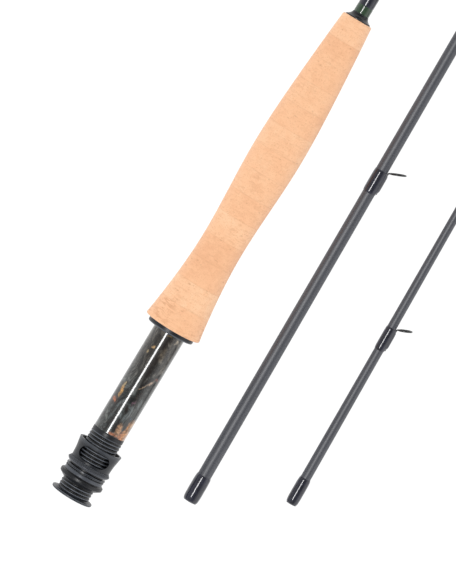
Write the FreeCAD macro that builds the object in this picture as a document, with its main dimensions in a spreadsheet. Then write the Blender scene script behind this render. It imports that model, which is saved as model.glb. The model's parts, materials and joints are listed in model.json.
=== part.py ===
import FreeCAD, Part
import os
import re

import Sketcher
from FreeCAD import Placement, Rotation, Vector

# A three-piece fly rod, taken apart, with its sections laid side by side on one flat surface.
# X runs along the butt section from the butt cap to the tip, and Z is up.  The origin is the
# middle of the butt cap's end face.  The middle and tip sections each have an X of their own,
# which starts at their lower end, and a lay angle that turns them a little towards the grip.

# Driving dimensions in millimetres and degrees: name, value, what it is.
SIZES = (
    ("cap_overhang", 2.35, "butt cap, its rim past the barrel"),
    ("cap_rim", 1.2, "butt cap, thickness of its rim"),
    ("cap_thickness", 1.8, "butt cap, thickness at its middle"),
    ("cap_edge", 0.35, "butt cap, chamfer of its rim"),
    ("cap_spigot_length", 5, "butt cap, plug that is pressed into the barrel"),
    ("barrel_radius", 8.4, "threaded barrel over the crests of its thread"),
    ("barrel_wall", 1.4, "threaded barrel, wall"),
    ("barrel_length", 34.1, "threaded barrel"),
    ("thread_clearance", 0.05, "play of a nut on the barrel's thread, on the radius"),
    ("side_gap", 0.1, "play between neighbours along the barrel"),
    ("jam_nut_gap", 5.4, "bare thread between the butt cap and the jam nut"),
    ("jam_nut_length", 6.15, "jam nut"),
    ("jam_foot_wall", 0.6, "jam nut at its lower face, outside the thread"),
    ("jam_chamfer", 1.65, "jam nut, length of its lower chamfer"),
    ("jam_flange_wall", 3, "jam nut, flange outside the thread"),
    ("jam_flange_length", 1.65, "jam nut, length of its flange"),
    ("jam_neck_wall", 1.75, "jam nut, neck outside the thread"),
    ("jam_neck_rise", 0.9, "jam nut, length of the curve from its flange to its neck"),
    ("jam_lip_wall", 2, "jam nut, lip above its neck, outside the thread"),
    ("washer_width", 2.05, "jam washer outside the thread"),
    ("washer_thickness", 0.9, "jam washer"),
    ("washer_edge", 0.2, "jam washer, chamfer"),
    ("nut_foot_wall", 2, "tightening nut at its lower face, outside the thread"),
    ("nut_bead_wall", 2.9, "tightening nut, widest point outside the thread"),
    ("nut_bead_at", 2, "tightening nut, length of its lower slope"),
    ("nut_bead_land", 0.3, "tightening nut, flat at its widest point"),
    ("nut_length", 3.5, "tightening nut without its spigot"),
    ("nut_top_wall", 1.9, "tightening nut at its upper face, outside the thread"),
    ("nut_spigot_length", 1.1, "tightening nut, spigot that turns in the sliding hood"),
    ("snap_ring_thickness", 0.4, "snap ring that keeps the hood on the nut"),
    ("snap_ring_depth", 0.3, "snap ring, height on each side of the running fit"),
    ("hood_length", 9.9, "sliding hood"),
    ("hood_gap", 1, "sliding hood, room between the barrel and its bore"),
    ("hood_base_wall", 0.8, "sliding hood at its base, outside its bore"),
    ("hood_waist_at", 4.4, "sliding hood, where its flare starts"),
    ("hood_waist_wall", 1.05, "sliding hood, where its flare starts, outside its bore"),
    ("hood_mouth_flare", 1.95, "sliding hood at its mouth, outside its bore"),
    ("hood_mouth_wall", 1.2, "sliding hood, wall at its mouth"),
    ("running_clearance", 0.08, "play of the nut's spigot in the hood, on the radius"),
    ("window_at", 4.6, "sliding hood, middle of its windows above its base"),
    ("window_land", 1.5, "sliding hood, from the end of a window to the side of its bore"),
    ("window_length", 7, "sliding hood, window along the barrel"),
    ("insert_step", 0.2, "reel seat insert, how far it is below the thread's crests"),
    ("insert_wall", 2.2, "reel seat insert, wall"),
    ("insert_shown_length", 56.6, "reel seat insert between the barrel and the fixed hood"),
    ("fixed_hood_lip_wall", 1.7, "fixed hood, lip below the cork, outside its pocket"),
    ("fixed_hood_lip_thickness", 2.4, "fixed hood, lip"),
    ("pocket_room", 2.2, "fixed hood, room for the reel's foot over the insert"),
    ("cup_wall", 1, "fixed hood, wall inside the cork"),
    ("cup_floor", 2.2, "fixed hood, floor of its pocket"),
    ("grip_length", 171.5, "cork grip"),
    ("grip_edge", 0.8, "cork grip, rounding of its ends"),
    ("flare_wall", 3.15, "cork grip at its lower end, outside the fixed hood"),
    ("shoulder_at", 16, "cork grip, on its lower flare"),
    ("shoulder_wall", 1.1, "cork grip, on its lower flare, outside the fixed hood"),
    ("waist_at", 44, "cork grip, its waist"),
    ("waist_radius", 10.55, "cork grip, its waist"),
    ("swell_below", 77.5, "cork grip, its swell below its upper end"),
    ("swell_radius", 12.24, "cork grip, its swell"),
    ("fore_below", 36.5, "cork grip, a place on its taper below its upper end"),
    ("fore_radius", 10.65, "cork grip, on its taper"),
    ("crown_step", 1.2, "cork grip at its upper end, outside the winding check"),
    ("cork_ring_count", 14, "rings of cork in the grip"),
    ("check_length", 3.1, "winding check"),
    ("check_land", 0.5, "winding check, straight foot"),
    ("check_base_wall", 2.81, "winding check at the cork, outside the blank"),
    ("check_waist_at", 1.5, "winding check, on its flare"),
    ("check_waist_wall", 1.26, "winding check, on its flare, outside the blank"),
    ("check_top_wall", 0.46, "winding check at the thread wrap, outside the blank"),
    ("band_length", 4.1, "green trim band"),
    ("butt_wrap_length", 14, "thread wrap above the trim band"),
    ("wrap_height", 0.27, "thickness of a plain thread wrap"),
    ("butt_section_length", 745, "butt section"),
    ("blank_gap", 1.2, "from the butt cap's plug to the butt blank"),
    ("butt_blank_radius", 4.25, "butt blank at its lower end"),
    ("butt_shoulder_radius", 2.9, "butt blank below its spigot"),
    ("butt_spigot_step", 0.15, "butt blank, step down to its spigot"),
    ("butt_wall", 0.75, "butt blank, wall"),
    ("spigot_length", 50, "spigot of the butt section and of the middle section"),
    ("ferrule_clearance", 0.05, "play of a spigot in its socket, on the radius"),
    ("socket_spare", 2, "depth of a socket past the end of its spigot"),
    ("mid_section_length", 745, "middle section"),
    ("mid_socket_wall", 0.65, "middle blank, wall of its socket"),
    ("mid_shoulder_radius", 2.08, "middle blank below its spigot"),
    ("mid_spigot_step", 0.13, "middle blank, step down to its spigot"),
    ("mid_wall", 0.65, "middle blank, wall"),
    ("tip_section_length", 745, "tip section without its tip top"),
    ("tip_socket_wall", 0.6, "tip blank, wall of its socket"),
    ("tip_step_at", 165, "tip blank, where its quick taper ends"),
    ("tip_step_radius", 2.1, "tip blank, where its quick taper ends"),
    ("tip_end_radius", 0.9, "tip blank at its upper end"),
    ("tip_wall", 0.6, "tip blank, wall"),
    ("tip_end_wall", 0.5, "tip blank, wall at its upper end"),
    ("mid_end_along", 25.9, "lower end of the middle section, along the butt section"),
    ("mid_end_aside", 50.2, "lower end of the middle section, beside the butt section"),
    ("mid_lay_angle", 0.99, "how far the middle section is turned from the butt section"),
    ("tip_end_along", 50.1, "lower end of the tip section, along the butt section"),
    ("tip_end_aside", 92.7, "lower end of the tip section, beside the butt section"),
    ("tip_lay_angle", 1.49, "how far the tip section is turned from the butt section"),
    ("ferrule_wrap_start", 0.4, "thread wrap of a socket, above the section's lower end"),
    ("ferrule_wrap_length", 14, "thread wrap of a socket"),
    ("ferrule_wrap_height", 0.55, "thread wrap of a socket, thickness"),
    ("wire_radius", 0.45, "wire of the line guides' loops"),
    ("foot_radius", 0.38, "wire of the line guides' feet"),
    ("guide_lean", 21.7, "how far a line guide leans towards the tip"),
    ("guide_foot_length", 11.5, "foot of a line guide"),
    ("guide_wrap_lead", 1.2, "length of a guide's thread wrap below its foot"),
    ("guide_wrap_height", 0.38, "thread wrap of a line guide, thickness"),
    ("guide_bump_cover", 0.18, "thread and varnish over the foot of a line guide"),
    ("guide_bump_half_width", 1.4, "half the width of the bump over a guide's foot"),
    ("guide_neck", 0.8, "wire between a guide's foot and its loop"),
    ("mid_loop_radius", 3.8, "loop of a guide on the middle section, to its wire's middle"),
    ("tip_loop_radius", 3.2, "loop of a guide on the tip section, to its wire's middle"),
    ("tip_top_length", 10, "tube of the tip top"),
    ("tip_top_wall", 0.3, "tube of the tip top, wall"),
    ("tip_top_cap", 0.8, "closed end of the tip top's tube"),
    ("tip_top_loop_radius", 2.2, "loop of the tip top, to its wire's middle"),
    ("tip_top_wrap_length", 5, "thread wrap below the tip top"),
    ("mid_first_guide_at", 185, "middle section, its first line guide above its lower end"),
    ("mid_last_guide_below", 47, "middle section, its last line guide below its spigot"),
    ("tip_first_guide_at", 98.5, "tip section, its first line guide above its lower end"),
    ("tip_last_guide_below", 117, "tip section, its last line guide below its upper end"),
    ("strip_below", 40, "stripping guide below the butt section's spigot"),
    ("strip_reach", 7, "stripping guide, from its ring to the inner end of each foot"),
    ("strip_foot_length", 11, "stripping guide, foot"),
    ("strip_ring_radius", 4.7, "stripping guide, frame ring to its wire's middle"),
    ("strip_stand", 10.2, "stripping guide, middle of its ring above the blank's axis"),
    ("strip_liner_wall", 0.9, "stripping guide, wall of its ceramic liner"),
    ("strip_liner_half_length", 0.8, "stripping guide, half the length of its ceramic liner"),
)

# Places of the single-foot guides between a section's first and last one, as shares of that run.
MID_GUIDE_SHARES = (0, 0.34, 0.675, 1)
TIP_GUIDE_SHARES = (0, 0.265, 0.52, 0.765, 1)

# Crown of a thread wrap under its varnish: share of the length, share of the height.
WRAP_CROWN = ((0.06, 0.6), (0.25, 1.0), (0.75, 1.0), (0.94, 0.6))

doc = FreeCAD.newDocument("fly_rod")
sizes = doc.addObject("Spreadsheet::Sheet", "Sizes")
for row, (name, number, note) in enumerate(SIZES, start=1):
    sizes.set(f"A{row}", note)
    sizes.set(f"B{row}", str(number))
    sizes.setAlias(f"B{row}", name)
doc.recompute()

SIZE_NAMES = {name for name, _, _ in SIZES}
sub_parts = []


# ---- formulas ----

def bound(formula):
    """The formula with each size's name as a reference to the sheet."""
    def reference(word):
        return "Sizes." + word.group() if word.group() in SIZE_NAMES else word.group()
    return re.sub(r"[a-z_]+", reference, str(formula))


def worth(formula):
    """The formula's value now."""
    return float(sizes.evalExpression(bound(formula)))


def bind(feature, **formulas):
    """Bind properties of a feature; a double underscore stands for a dot in the property's name."""
    for name, formula in formulas.items():
        feature.setExpression(name.replace("__", "."), bound(formula))


def on_line(first, last, place):
    """Radius at a place on the straight line between two (place, radius) points."""
    (start, start_radius), (end, end_radius) = first, last
    return (f"({start_radius} + ({end_radius} - {start_radius}) * ({place} - {start})"
            f" / ({end} - {start}))")


# ---- the blanks' outer surfaces ----

blank_start = "(cap_thickness + cap_spigot_length + blank_gap)"
butt_spigot_start = "(butt_section_length - spigot_length)"
mid_spigot_start = "(mid_section_length - spigot_length)"
butt_spigot_radius = "(butt_shoulder_radius - butt_spigot_step)"
mid_spigot_radius = "(mid_shoulder_radius - mid_spigot_step)"
mid_socket_radius = f"({butt_spigot_radius} + ferrule_clearance)"
tip_socket_radius = f"({mid_spigot_radius} + ferrule_clearance)"
mid_blank_radius = f"({mid_socket_radius} + mid_socket_wall)"
tip_blank_radius = f"({tip_socket_radius} + tip_socket_wall)"


def butt_radius(place):
    """Outer radius of the butt blank below its spigot."""
    return on_line((blank_start, "butt_blank_radius"),
                   (butt_spigot_start, "butt_shoulder_radius"), place)


def mid_radius(place):
    """Outer radius of the middle blank below its spigot."""
    return on_line(("0", mid_blank_radius), (mid_spigot_start, "mid_shoulder_radius"), place)


def tip_radius(place):
    """Outer radius of the tip blank, whose taper is quicker near its lower end."""
    if worth(place) <= worth("tip_step_at"):
        return on_line(("0", tip_blank_radius), ("tip_step_at", "tip_step_radius"), place)
    return on_line(("tip_step_at", "tip_step_radius"),
                   ("tip_section_length", "tip_end_radius"), place)


# ---- places along the butt section, and its radii ----

barrel_end = "(cap_thickness + barrel_length)"
jam_start = "(cap_thickness + jam_nut_gap)"
jam_end = f"({jam_start} + jam_nut_length)"
washer_start = f"({jam_end} + side_gap)"
washer_end = f"({washer_start} + washer_thickness)"
nut_start = f"({washer_end} + side_gap)"
nut_end = f"({nut_start} + nut_length)"
hood_start = f"({nut_end} + side_gap)"
hood_end = f"({hood_start} + hood_length)"
lip_start = f"({barrel_end} + insert_shown_length)"
grip_start = f"({lip_start} + fixed_hood_lip_thickness)"
grip_end = f"({grip_start} + grip_length)"
cork_ring_length = "(grip_length / round(cork_ring_count))"
cup_end = f"({grip_start} + {cork_ring_length})"
pocket_end = f"({cup_end} - cup_floor)"
check_end = f"({grip_end} + check_length)"
snap_start = f"({nut_end} + (nut_spigot_length - snap_ring_thickness) / 2)"
snap_end = f"({snap_start} + snap_ring_thickness)"
strip_at = f"({butt_spigot_start} - strip_below)"

cap_radius = "(barrel_radius + cap_overhang)"
barrel_bore = "(barrel_radius - barrel_wall)"
nut_bore = "(barrel_radius + thread_clearance)"
jam_flange_radius = "(barrel_radius + jam_flange_wall)"
jam_neck_radius = "(barrel_radius + jam_neck_wall)"
washer_radius = "(barrel_radius + washer_width)"
nut_bead_radius = "(barrel_radius + nut_bead_wall)"
hood_bore = "(barrel_radius + hood_gap)"
hood_mouth_radius = f"({hood_bore} + hood_mouth_flare)"
nut_spigot_radius = f"({hood_bore} - running_clearance)"
insert_radius = "(barrel_radius - insert_step)"
insert_bore = f"({insert_radius} - insert_wall)"
pocket_radius = f"({insert_radius} + pocket_room)"
fixed_hood_lip_radius = f"({pocket_radius} + fixed_hood_lip_wall)"
cup_radius = f"({pocket_radius} + cup_wall)"
flare_radius = f"({cup_radius} + flare_wall)"
check_base_radius = f"({butt_radius(grip_end)} + check_base_wall)"
crown_radius = f"({check_base_radius} + crown_step)"


# ---- bodies, sketches and features ----

def section_body(label, section="butt"):
    """An empty body with its section's place, listed as a sub-part."""
    body = doc.addObject("PartDesign::Body", label)
    body.Label = label
    if section != "butt":
        body.Placement = Placement(Vector(), Rotation(Vector(0, 0, 1), worth(f"{section}_lay_angle")))
        bind(body, Placement__Rotation__Angle=f"{section}_lay_angle",
             Placement__Base__x=f"{section}_end_along", Placement__Base__y=f"-{section}_end_aside",
             Placement__Base__z=f"{section}_loop_radius + wire_radius - {flare_radius}")
    sub_parts.append(body)
    return body


def plane_sketch(body, name, role="XY_Plane", offset="0"):
    """A sketch on one of the body's own origin planes, moved out along its normal by an offset."""
    sketch = body.newObject("Sketcher::SketchObject", name)
    plane = next(item for item in body.Origin.OriginFeatures if item.Role == role)
    sketch.AttachmentSupport = [(plane, "")]
    sketch.MapMode = "FlatFace"
    bind(sketch, AttachmentOffset__Base__z=offset)
    return sketch


def pin_point(sketch, element, point, place):
    """Hold one point of a sketch at bound distances from the sketch's origin."""
    for kind, formula in zip(("DistanceX", "DistanceY"), place):
        index = sketch.addConstraint(
            Sketcher.Constraint(kind, -1, 1, element, point, worth(formula)))
        sketch.setExpression(f"Constraints[{index}]", bound(formula))


def flat_point(place):
    """A place in a sketch as a vector."""
    return Vector(worth(place[0]), worth(place[1]), 0)


def draw_polygon(sketch, places, closed=True):
    """Straight lines from place to place, joined, with each corner pinned."""
    ends = list(zip(places, places[1:] + places[:1] if closed else places[1:]))
    for start, end in ends:
        sketch.addGeometry(Part.LineSegment(flat_point(start), flat_point(end)))
    for index in range(len(ends) - (0 if closed else 1)):
        sketch.addConstraint(
            Sketcher.Constraint("Coincident", index, 2, (index + 1) % len(ends), 1))
    for index, (start, _) in enumerate(ends):
        pin_point(sketch, index, 1, start)
    if not closed:
        pin_point(sketch, len(ends) - 1, 2, places[-1])


def draw_circle(sketch, centre, radius):
    """A circle with its centre pinned and its radius bound."""
    element = sketch.addGeometry(Part.Circle(flat_point(centre), Vector(0, 0, 1), worth(radius)))
    pin_point(sketch, element, 3, centre)
    index = sketch.addConstraint(Sketcher.Constraint("Radius", element, worth(radius)))
    sketch.setExpression(f"Constraints[{index}]", bound(radius))


def turn(body, places, name="Turned"):
    """Revolve an outline of (place along the axis, radius) points about the body's X axis."""
    sketch = plane_sketch(body, name + "Outline")
    draw_polygon(sketch, list(places))
    solid = body.newObject("PartDesign::Revolution", name)
    solid.Profile = sketch
    solid.ReferenceAxis = (sketch, ["H_Axis"])
    solid.Angle = 360
    return solid


def turned(label, places, section="butt"):
    """A sub-part that is one turned solid."""
    body = section_body(label, section)
    turn(body, places)
    return body


def wire_ring(body, name, base, lean, radius):
    """A round wire ring on one base point, its plane leaning from square towards the tip."""
    sketch = plane_sketch(body, name + "Outline")
    middle = (f"{base[0]} + {radius} * sin({lean} * 1 deg)",
              f"{base[1]} - {radius} * cos({lean} * 1 deg)")
    far_side = (f"{base[0]} + 2 * {radius} * sin({lean} * 1 deg)",
                f"{base[1]} - 2 * {radius} * cos({lean} * 1 deg)")
    axis_end = (f"{middle[0]} + {radius} * cos({lean} * 1 deg)",
                f"{middle[1]} + {radius} * sin({lean} * 1 deg)")
    draw_circle(sketch, far_side, "wire_radius")
    axis = sketch.addGeometry(Part.LineSegment(flat_point(middle), flat_point(axis_end)), True)
    pin_point(sketch, axis, 1, middle)
    pin_point(sketch, axis, 2, axis_end)
    ring = body.newObject("PartDesign::Revolution", name)
    ring.Profile = sketch
    ring.ReferenceAxis = (sketch, ["Axis0"])
    ring.Angle = 360
    return ring


def wire_run(body, name, places):
    """Round wire along straight runs in the body's XY plane; the first run is along X."""
    path = plane_sketch(body, name + "Path")
    draw_polygon(path, list(places), closed=False)
    profile = plane_sketch(body, name + "Profile", "YZ_Plane", places[0][0])
    draw_circle(profile, (places[0][1], "0"), "foot_radius")
    pipe = body.newObject("PartDesign::AdditivePipe", name)
    pipe.Profile = profile
    pipe.Spine = (path, [f"Edge{index}" for index in range(1, len(places))])
    pipe.Transition = "Round corner"
    return pipe


def along_x(feature, place, aside="0"):
    """Lay a primitive's own axis along X and bind its start."""
    feature.Placement = Placement(Vector(), Rotation(Vector(0, 1, 0), 90))
    bind(feature, Placement__Base__x=place, Placement__Base__y=aside)
    return feature


def wrap_outline(start, length, height, radius_at):
    """Outline of a thread wrap on a blank: its bore follows the blank, its crown is rounded."""
    end = f"({start} + {length})"
    crown = [(f"{start} + {share} * {length}",
              f"{radius_at(f'({start} + {share} * {length})')} + {rise} * {height}")
             for share, rise in WRAP_CROWN]
    return [(start, radius_at(start))] + crown + [(end, radius_at(end))]


# ---- reel seat ----

def make_barrel_and_cap():
    """The butt cap with its plug, and the threaded barrel that it closes."""
    turned("butt_cap", [
        ("0", "0"), ("0", f"{cap_radius} - cap_edge"), ("cap_edge", cap_radius),
        ("cap_rim - cap_edge", cap_radius), ("cap_rim", f"{cap_radius} - cap_edge"),
        ("cap_thickness", "barrel_radius"), ("cap_thickness", barrel_bore),
        ("cap_thickness + cap_spigot_length", barrel_bore),
        ("cap_thickness + cap_spigot_length", "0")])
    turned("threaded_barrel", [
        ("cap_thickness", barrel_bore), ("cap_thickness", "barrel_radius"),
        (barrel_end, "barrel_radius"), (barrel_end, barrel_bore)])


def make_nuts():
    """The jam nut, its washer, the tightening nut and the snap ring on its spigot."""
    flange_end = f"{jam_start} + jam_chamfer + jam_flange_length"
    turned("jam_nut", [
        (jam_start, nut_bore), (jam_start, "barrel_radius + jam_foot_wall"),
        (f"{jam_start} + jam_chamfer", jam_flange_radius), (flange_end, jam_flange_radius),
        (f"{flange_end} + jam_neck_rise / 3", f"({jam_flange_radius} + 3 * {jam_neck_radius}) / 4"),
        (f"{flange_end} + jam_neck_rise", jam_neck_radius),
        (jam_end, "barrel_radius + jam_lip_wall"),
        (jam_end, nut_bore)])
    turned("jam_washer", [
        (washer_start, nut_bore), (washer_start, f"{washer_radius} - washer_edge"),
        (f"{washer_start} + washer_edge", washer_radius),
        (f"{washer_end} - washer_edge", washer_radius),
        (washer_end, f"{washer_radius} - washer_edge"), (washer_end, nut_bore)])
    groove_radius = f"({nut_spigot_radius} - snap_ring_depth - running_clearance)"
    spigot_end = f"({nut_end} + nut_spigot_length)"
    turned("tightening_nut", [
        (nut_start, nut_bore), (nut_start, "barrel_radius + nut_foot_wall"),
        (f"{nut_start} + nut_bead_at", nut_bead_radius),
        (f"{nut_start} + nut_bead_at + nut_bead_land", nut_bead_radius),
        (nut_end, "barrel_radius + nut_top_wall"), (nut_end, nut_spigot_radius),
        (f"{snap_start} - running_clearance", nut_spigot_radius),
        (f"{snap_start} - running_clearance", groove_radius),
        (f"{snap_end} + running_clearance", groove_radius),
        (f"{snap_end} + running_clearance", nut_spigot_radius),
        (spigot_end, nut_spigot_radius), (spigot_end, nut_bore)])
    turned("snap_ring", [
        (snap_start, f"{nut_spigot_radius} - snap_ring_depth"),
        (snap_start, f"{hood_bore} + snap_ring_depth"),
        (snap_end, f"{hood_bore} + snap_ring_depth"),
        (snap_end, f"{nut_spigot_radius} - snap_ring_depth")])


def make_sliding_hood():
    """The sliding hood: a flared sleeve with a groove for the snap ring and two windows."""
    groove_radius = f"{hood_bore} + snap_ring_depth"
    hood = turned("sliding_hood", [
        (hood_start, hood_bore), (hood_start, f"{hood_bore} + hood_base_wall"),
        (f"{hood_start} + hood_waist_at", f"{hood_bore} + hood_waist_wall"),
        (hood_end, hood_mouth_radius), (hood_end, f"{hood_mouth_radius} - hood_mouth_wall"),
        (f"{hood_start} + hood_waist_at", hood_bore), (snap_end, hood_bore),
        (snap_end, groove_radius), (snap_start, groove_radius), (snap_start, hood_bore)])
    window = plane_sketch(hood, "WindowOutline")
    middle = f"({hood_start} + window_at)"
    half_straight = f"({hood_bore} - window_land - window_length / 2)"
    ends = [worth(f"{middle} - window_length / 2"), worth(f"{middle} + window_length / 2")]
    for along in ends:
        window.addGeometry(Part.LineSegment(Vector(along, -worth(half_straight), 0),
                                            Vector(along, worth(half_straight), 0)))
    for side, angles in ((1, (0, 180)), (-1, (180, 360))):
        circle = Part.Circle(Vector(worth(middle), side * worth(half_straight), 0),
                             Vector(0, 0, 1), worth("window_length / 2"))
        start, end = (FreeCAD.Units.Quantity(f"{angle} deg").getValueAs("rad").Value
                      for angle in angles)
        window.addGeometry(Part.ArcOfCircle(circle, start, end))
    low_line, high_line, left_arc, right_arc = range(4)
    for pair in ((high_line, 2, left_arc, 1), (left_arc, 2, low_line, 2),
                 (low_line, 1, right_arc, 1), (right_arc, 2, high_line, 1)):
        window.addConstraint(Sketcher.Constraint("Coincident", *pair))
    pin_point(window, left_arc, 3, (middle, half_straight))
    pin_point(window, right_arc, 3, (middle, f"-{half_straight}"))
    pin_point(window, low_line, 1, (f"{middle} - window_length / 2", f"-{half_straight}"))
    pin_point(window, high_line, 2, (f"{middle} + window_length / 2", half_straight))
    cut = hood.newObject("PartDesign::Pocket", "Windows")
    cut.Profile = window
    cut.Type = "ThroughAll"
    cut.Midplane = True


def make_insert_and_fixed_hood():
    """The reel seat insert, the fixed hood hidden in the cork and the arbors on the blank."""
    turned("reel_seat_insert", [
        (barrel_end, insert_bore), (barrel_end, insert_radius),
        (pocket_end, insert_radius), (pocket_end, insert_bore)])
    turned("fixed_hood", [
        (lip_start, pocket_radius), (lip_start, fixed_hood_lip_radius),
        (grip_start, fixed_hood_lip_radius), (grip_start, cup_radius),
        (cup_end, cup_radius), (cup_end, butt_radius(cup_end)),
        (pocket_end, butt_radius(pocket_end)), (pocket_end, pocket_radius)])
    turned("barrel_arbor", [
        (blank_start, "butt_blank_radius"), (blank_start, barrel_bore),
        (barrel_end, barrel_bore), (barrel_end, butt_radius(barrel_end))])
    turned("insert_arbor", [
        (barrel_end, butt_radius(barrel_end)), (barrel_end, insert_bore),
        (pocket_end, insert_bore), (pocket_end, butt_radius(pocket_end))])


# ---- cork grip ----

def make_grip():
    """The cork grip, turned from one smooth outline, bored, and cut into its rings."""
    start, end = worth(grip_start), worth(grip_end)
    edge = worth("grip_edge")
    stations = [Vector(start + worth(place), worth(radius), 0) for place, radius in (
        ("grip_edge", flare_radius), ("shoulder_at", f"{cup_radius} + shoulder_wall"),
        ("waist_at", "waist_radius"), ("grip_length - swell_below", "swell_radius"),
        ("grip_length - fore_below", "fore_radius"), ("grip_length - grip_edge", crown_radius))]
    side = Part.BSplineCurve()
    side.interpolate(stations)
    first, last = stations[0], stations[-1]
    bend = edge * (1 - 0.5 ** 0.5)
    outline = Part.Wire([
        Part.LineSegment(Vector(start, 0, 0), Vector(start, first.y - edge, 0)).toShape(),
        Part.Arc(Vector(start, first.y - edge, 0), Vector(start + bend, first.y - bend, 0),
                 first).toShape(),
        side.toShape(),
        Part.Arc(last, Vector(end - bend, last.y - bend, 0),
                 Vector(end, last.y - edge, 0)).toShape(),
        Part.LineSegment(Vector(end, last.y - edge, 0), Vector(end, 0, 0)).toShape(),
        Part.LineSegment(Vector(end, 0, 0), Vector(start, 0, 0)).toShape()])
    form = doc.addObject("Part::Feature", "GripForm")
    form.Shape = Part.Face(outline).revolve(Vector(), Vector(1, 0, 0), 360)

    blank_bore = doc.addObject("Part::Cone", "GripBlankBore")
    along_x(blank_bore, grip_start)
    bind(blank_bore, Height="grip_length", Radius1=butt_radius(grip_start),
         Radius2=butt_radius(grip_end))
    cup_bore = doc.addObject("Part::Cylinder", "GripCupBore")
    along_x(cup_bore, grip_start)
    bind(cup_bore, Height=cork_ring_length, Radius=cup_radius)
    bores = doc.addObject("Part::Fuse", "GripBores")
    bores.Base = blank_bore
    bores.Tool = cup_bore
    bored = doc.addObject("Part::Cut", "BoredGrip")
    bored.Base = form
    bored.Tool = bores

    for index in range(round(worth("cork_ring_count"))):
        slab = doc.addObject("Part::Cylinder", f"CorkSlab{index + 1:02d}")
        along_x(slab, f"{grip_start} + {index} * {cork_ring_length}")
        bind(slab, Height=cork_ring_length, Radius=f"2 * {flare_radius}")
        ring = doc.addObject("Part::Common", f"cork_ring_{index + 1:02d}")
        ring.Label = f"cork_ring_{index + 1:02d}"
        ring.Base = bored
        ring.Tool = slab
        sub_parts.append(ring)


# ---- butt section above the grip ----

def make_butt_blank():
    """The butt blank, a tapered tube whose upper end is a parallel spigot."""
    turned("butt_blank", [
        (blank_start, "butt_blank_radius - butt_wall"), (blank_start, "butt_blank_radius"),
        (butt_spigot_start, "butt_shoulder_radius"), (butt_spigot_start, butt_spigot_radius),
        ("butt_section_length", butt_spigot_radius),
        ("butt_section_length", f"{butt_spigot_radius} - butt_wall"),
        (butt_spigot_start, f"{butt_spigot_radius} - butt_wall")])


def make_check_and_butt_wraps():
    """The winding check on top of the cork, the green trim band and the wrap above it."""
    band_end = f"({check_end} + band_length)"
    wrap_end = f"({band_end} + butt_wrap_length)"
    turned("winding_check", [
        (grip_end, butt_radius(grip_end)), (grip_end, check_base_radius),
        (f"{grip_end} + check_land", check_base_radius),
        (f"{grip_end} + check_waist_at", f"{butt_radius(grip_end)} + check_waist_wall"),
        (check_end, f"{butt_radius(check_end)} + check_top_wall"),
        (check_end, butt_radius(check_end))])
    turned("trim_band", [
        (check_end, butt_radius(check_end)), (check_end, f"{butt_radius(check_end)} + wrap_height"),
        (band_end, f"{butt_radius(band_end)} + wrap_height"), (band_end, butt_radius(band_end))])
    turned("butt_wrap", [
        (band_end, butt_radius(band_end)), (band_end, f"{butt_radius(band_end)} + wrap_height"),
        (f"{wrap_end} - guide_wrap_lead", f"{butt_radius(wrap_end)} + wrap_height"),
        (wrap_end, butt_radius(wrap_end))])


def make_stripping_guide():
    """The stripping guide: a frame with two feet, its ceramic liner and a wrap over each foot."""
    frame = section_body("stripping_guide_frame")
    rear_start = f"({strip_at} - strip_reach)"
    rear_end = f"({rear_start} - strip_foot_length)"
    front_start = f"({strip_at} + strip_reach)"
    foot_line = f"(-{butt_radius(rear_end)} - foot_radius)"
    ring_base = (strip_at, "(-strip_stand + strip_ring_radius)")
    wire_run(frame, "RearLeg", [(rear_end, foot_line), (rear_start, foot_line), ring_base])
    wire_run(frame, "FrontLeg", [(f"({front_start} + strip_foot_length)", foot_line),
                                 (front_start, foot_line), ring_base])
    wire_ring(frame, "Ring", ring_base, "0", "strip_ring_radius")
    liner = section_body("stripping_guide_liner")
    section = plane_sketch(liner, "LinerOutline")
    outer = "(strip_ring_radius - wire_radius)"
    inner = f"({outer} - strip_liner_wall)"
    draw_polygon(section, [
        (f"{strip_at} {sign} strip_liner_half_length", f"-strip_stand + {radius}")
        for sign, radius in (("-", inner), ("-", outer), ("+", outer), ("+", inner))])
    axis_ends = [(strip_at, "-strip_stand"), (f"{strip_at} + strip_reach", "-strip_stand")]
    axis = section.addGeometry(Part.LineSegment(*map(flat_point, axis_ends)), True)
    for point, place in enumerate(axis_ends, start=1):
        pin_point(section, axis, point, place)
    ring = liner.newObject("PartDesign::Revolution", "Liner")
    ring.Profile = section
    ring.ReferenceAxis = (section, ["Axis0"])
    ring.Angle = 360
    wrap_length = "(strip_foot_length + guide_wrap_lead)"
    for label, start, foot_start in (
            ("stripping_guide_rear_wrap", f"({rear_end} - guide_wrap_lead)", rear_end),
            ("stripping_guide_front_wrap", f"({front_start} + foot_radius)", front_start)):
        make_foot_wrap(label, "butt", butt_radius, start, wrap_length, foot_start,
                       "strip_foot_length", foot_line)


# ---- thread wraps and line guides of every section ----

def make_foot_wrap(label, section, radius_at, start, length, foot_start, foot_length,
                   foot_line):
    """A thread wrap with a bump over a guide's foot, cut free of the blank and of the foot."""
    wrap = turned(label, wrap_outline(start, length, "guide_wrap_height", radius_at), section)
    bump = wrap.newObject("PartDesign::AdditiveEllipsoid", "Bump")
    bind(bump, Radius1="guide_bump_half_width", Radius2=f"{length} / 2",
         Radius3="foot_radius + guide_bump_cover", Placement__Base__x=f"{start} + {length} / 2",
         Placement__Base__y=foot_line)
    blank = along_x(wrap.newObject("PartDesign::SubtractiveCone", "Blank"), start)
    bind(blank, Height=length, Radius1=radius_at(start), Radius2=radius_at(f"({start} + {length})"))
    foot = along_x(wrap.newObject("PartDesign::SubtractiveCylinder", "Foot"), foot_start, foot_line)
    bind(foot, Height=foot_length, Radius="foot_radius")


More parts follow.
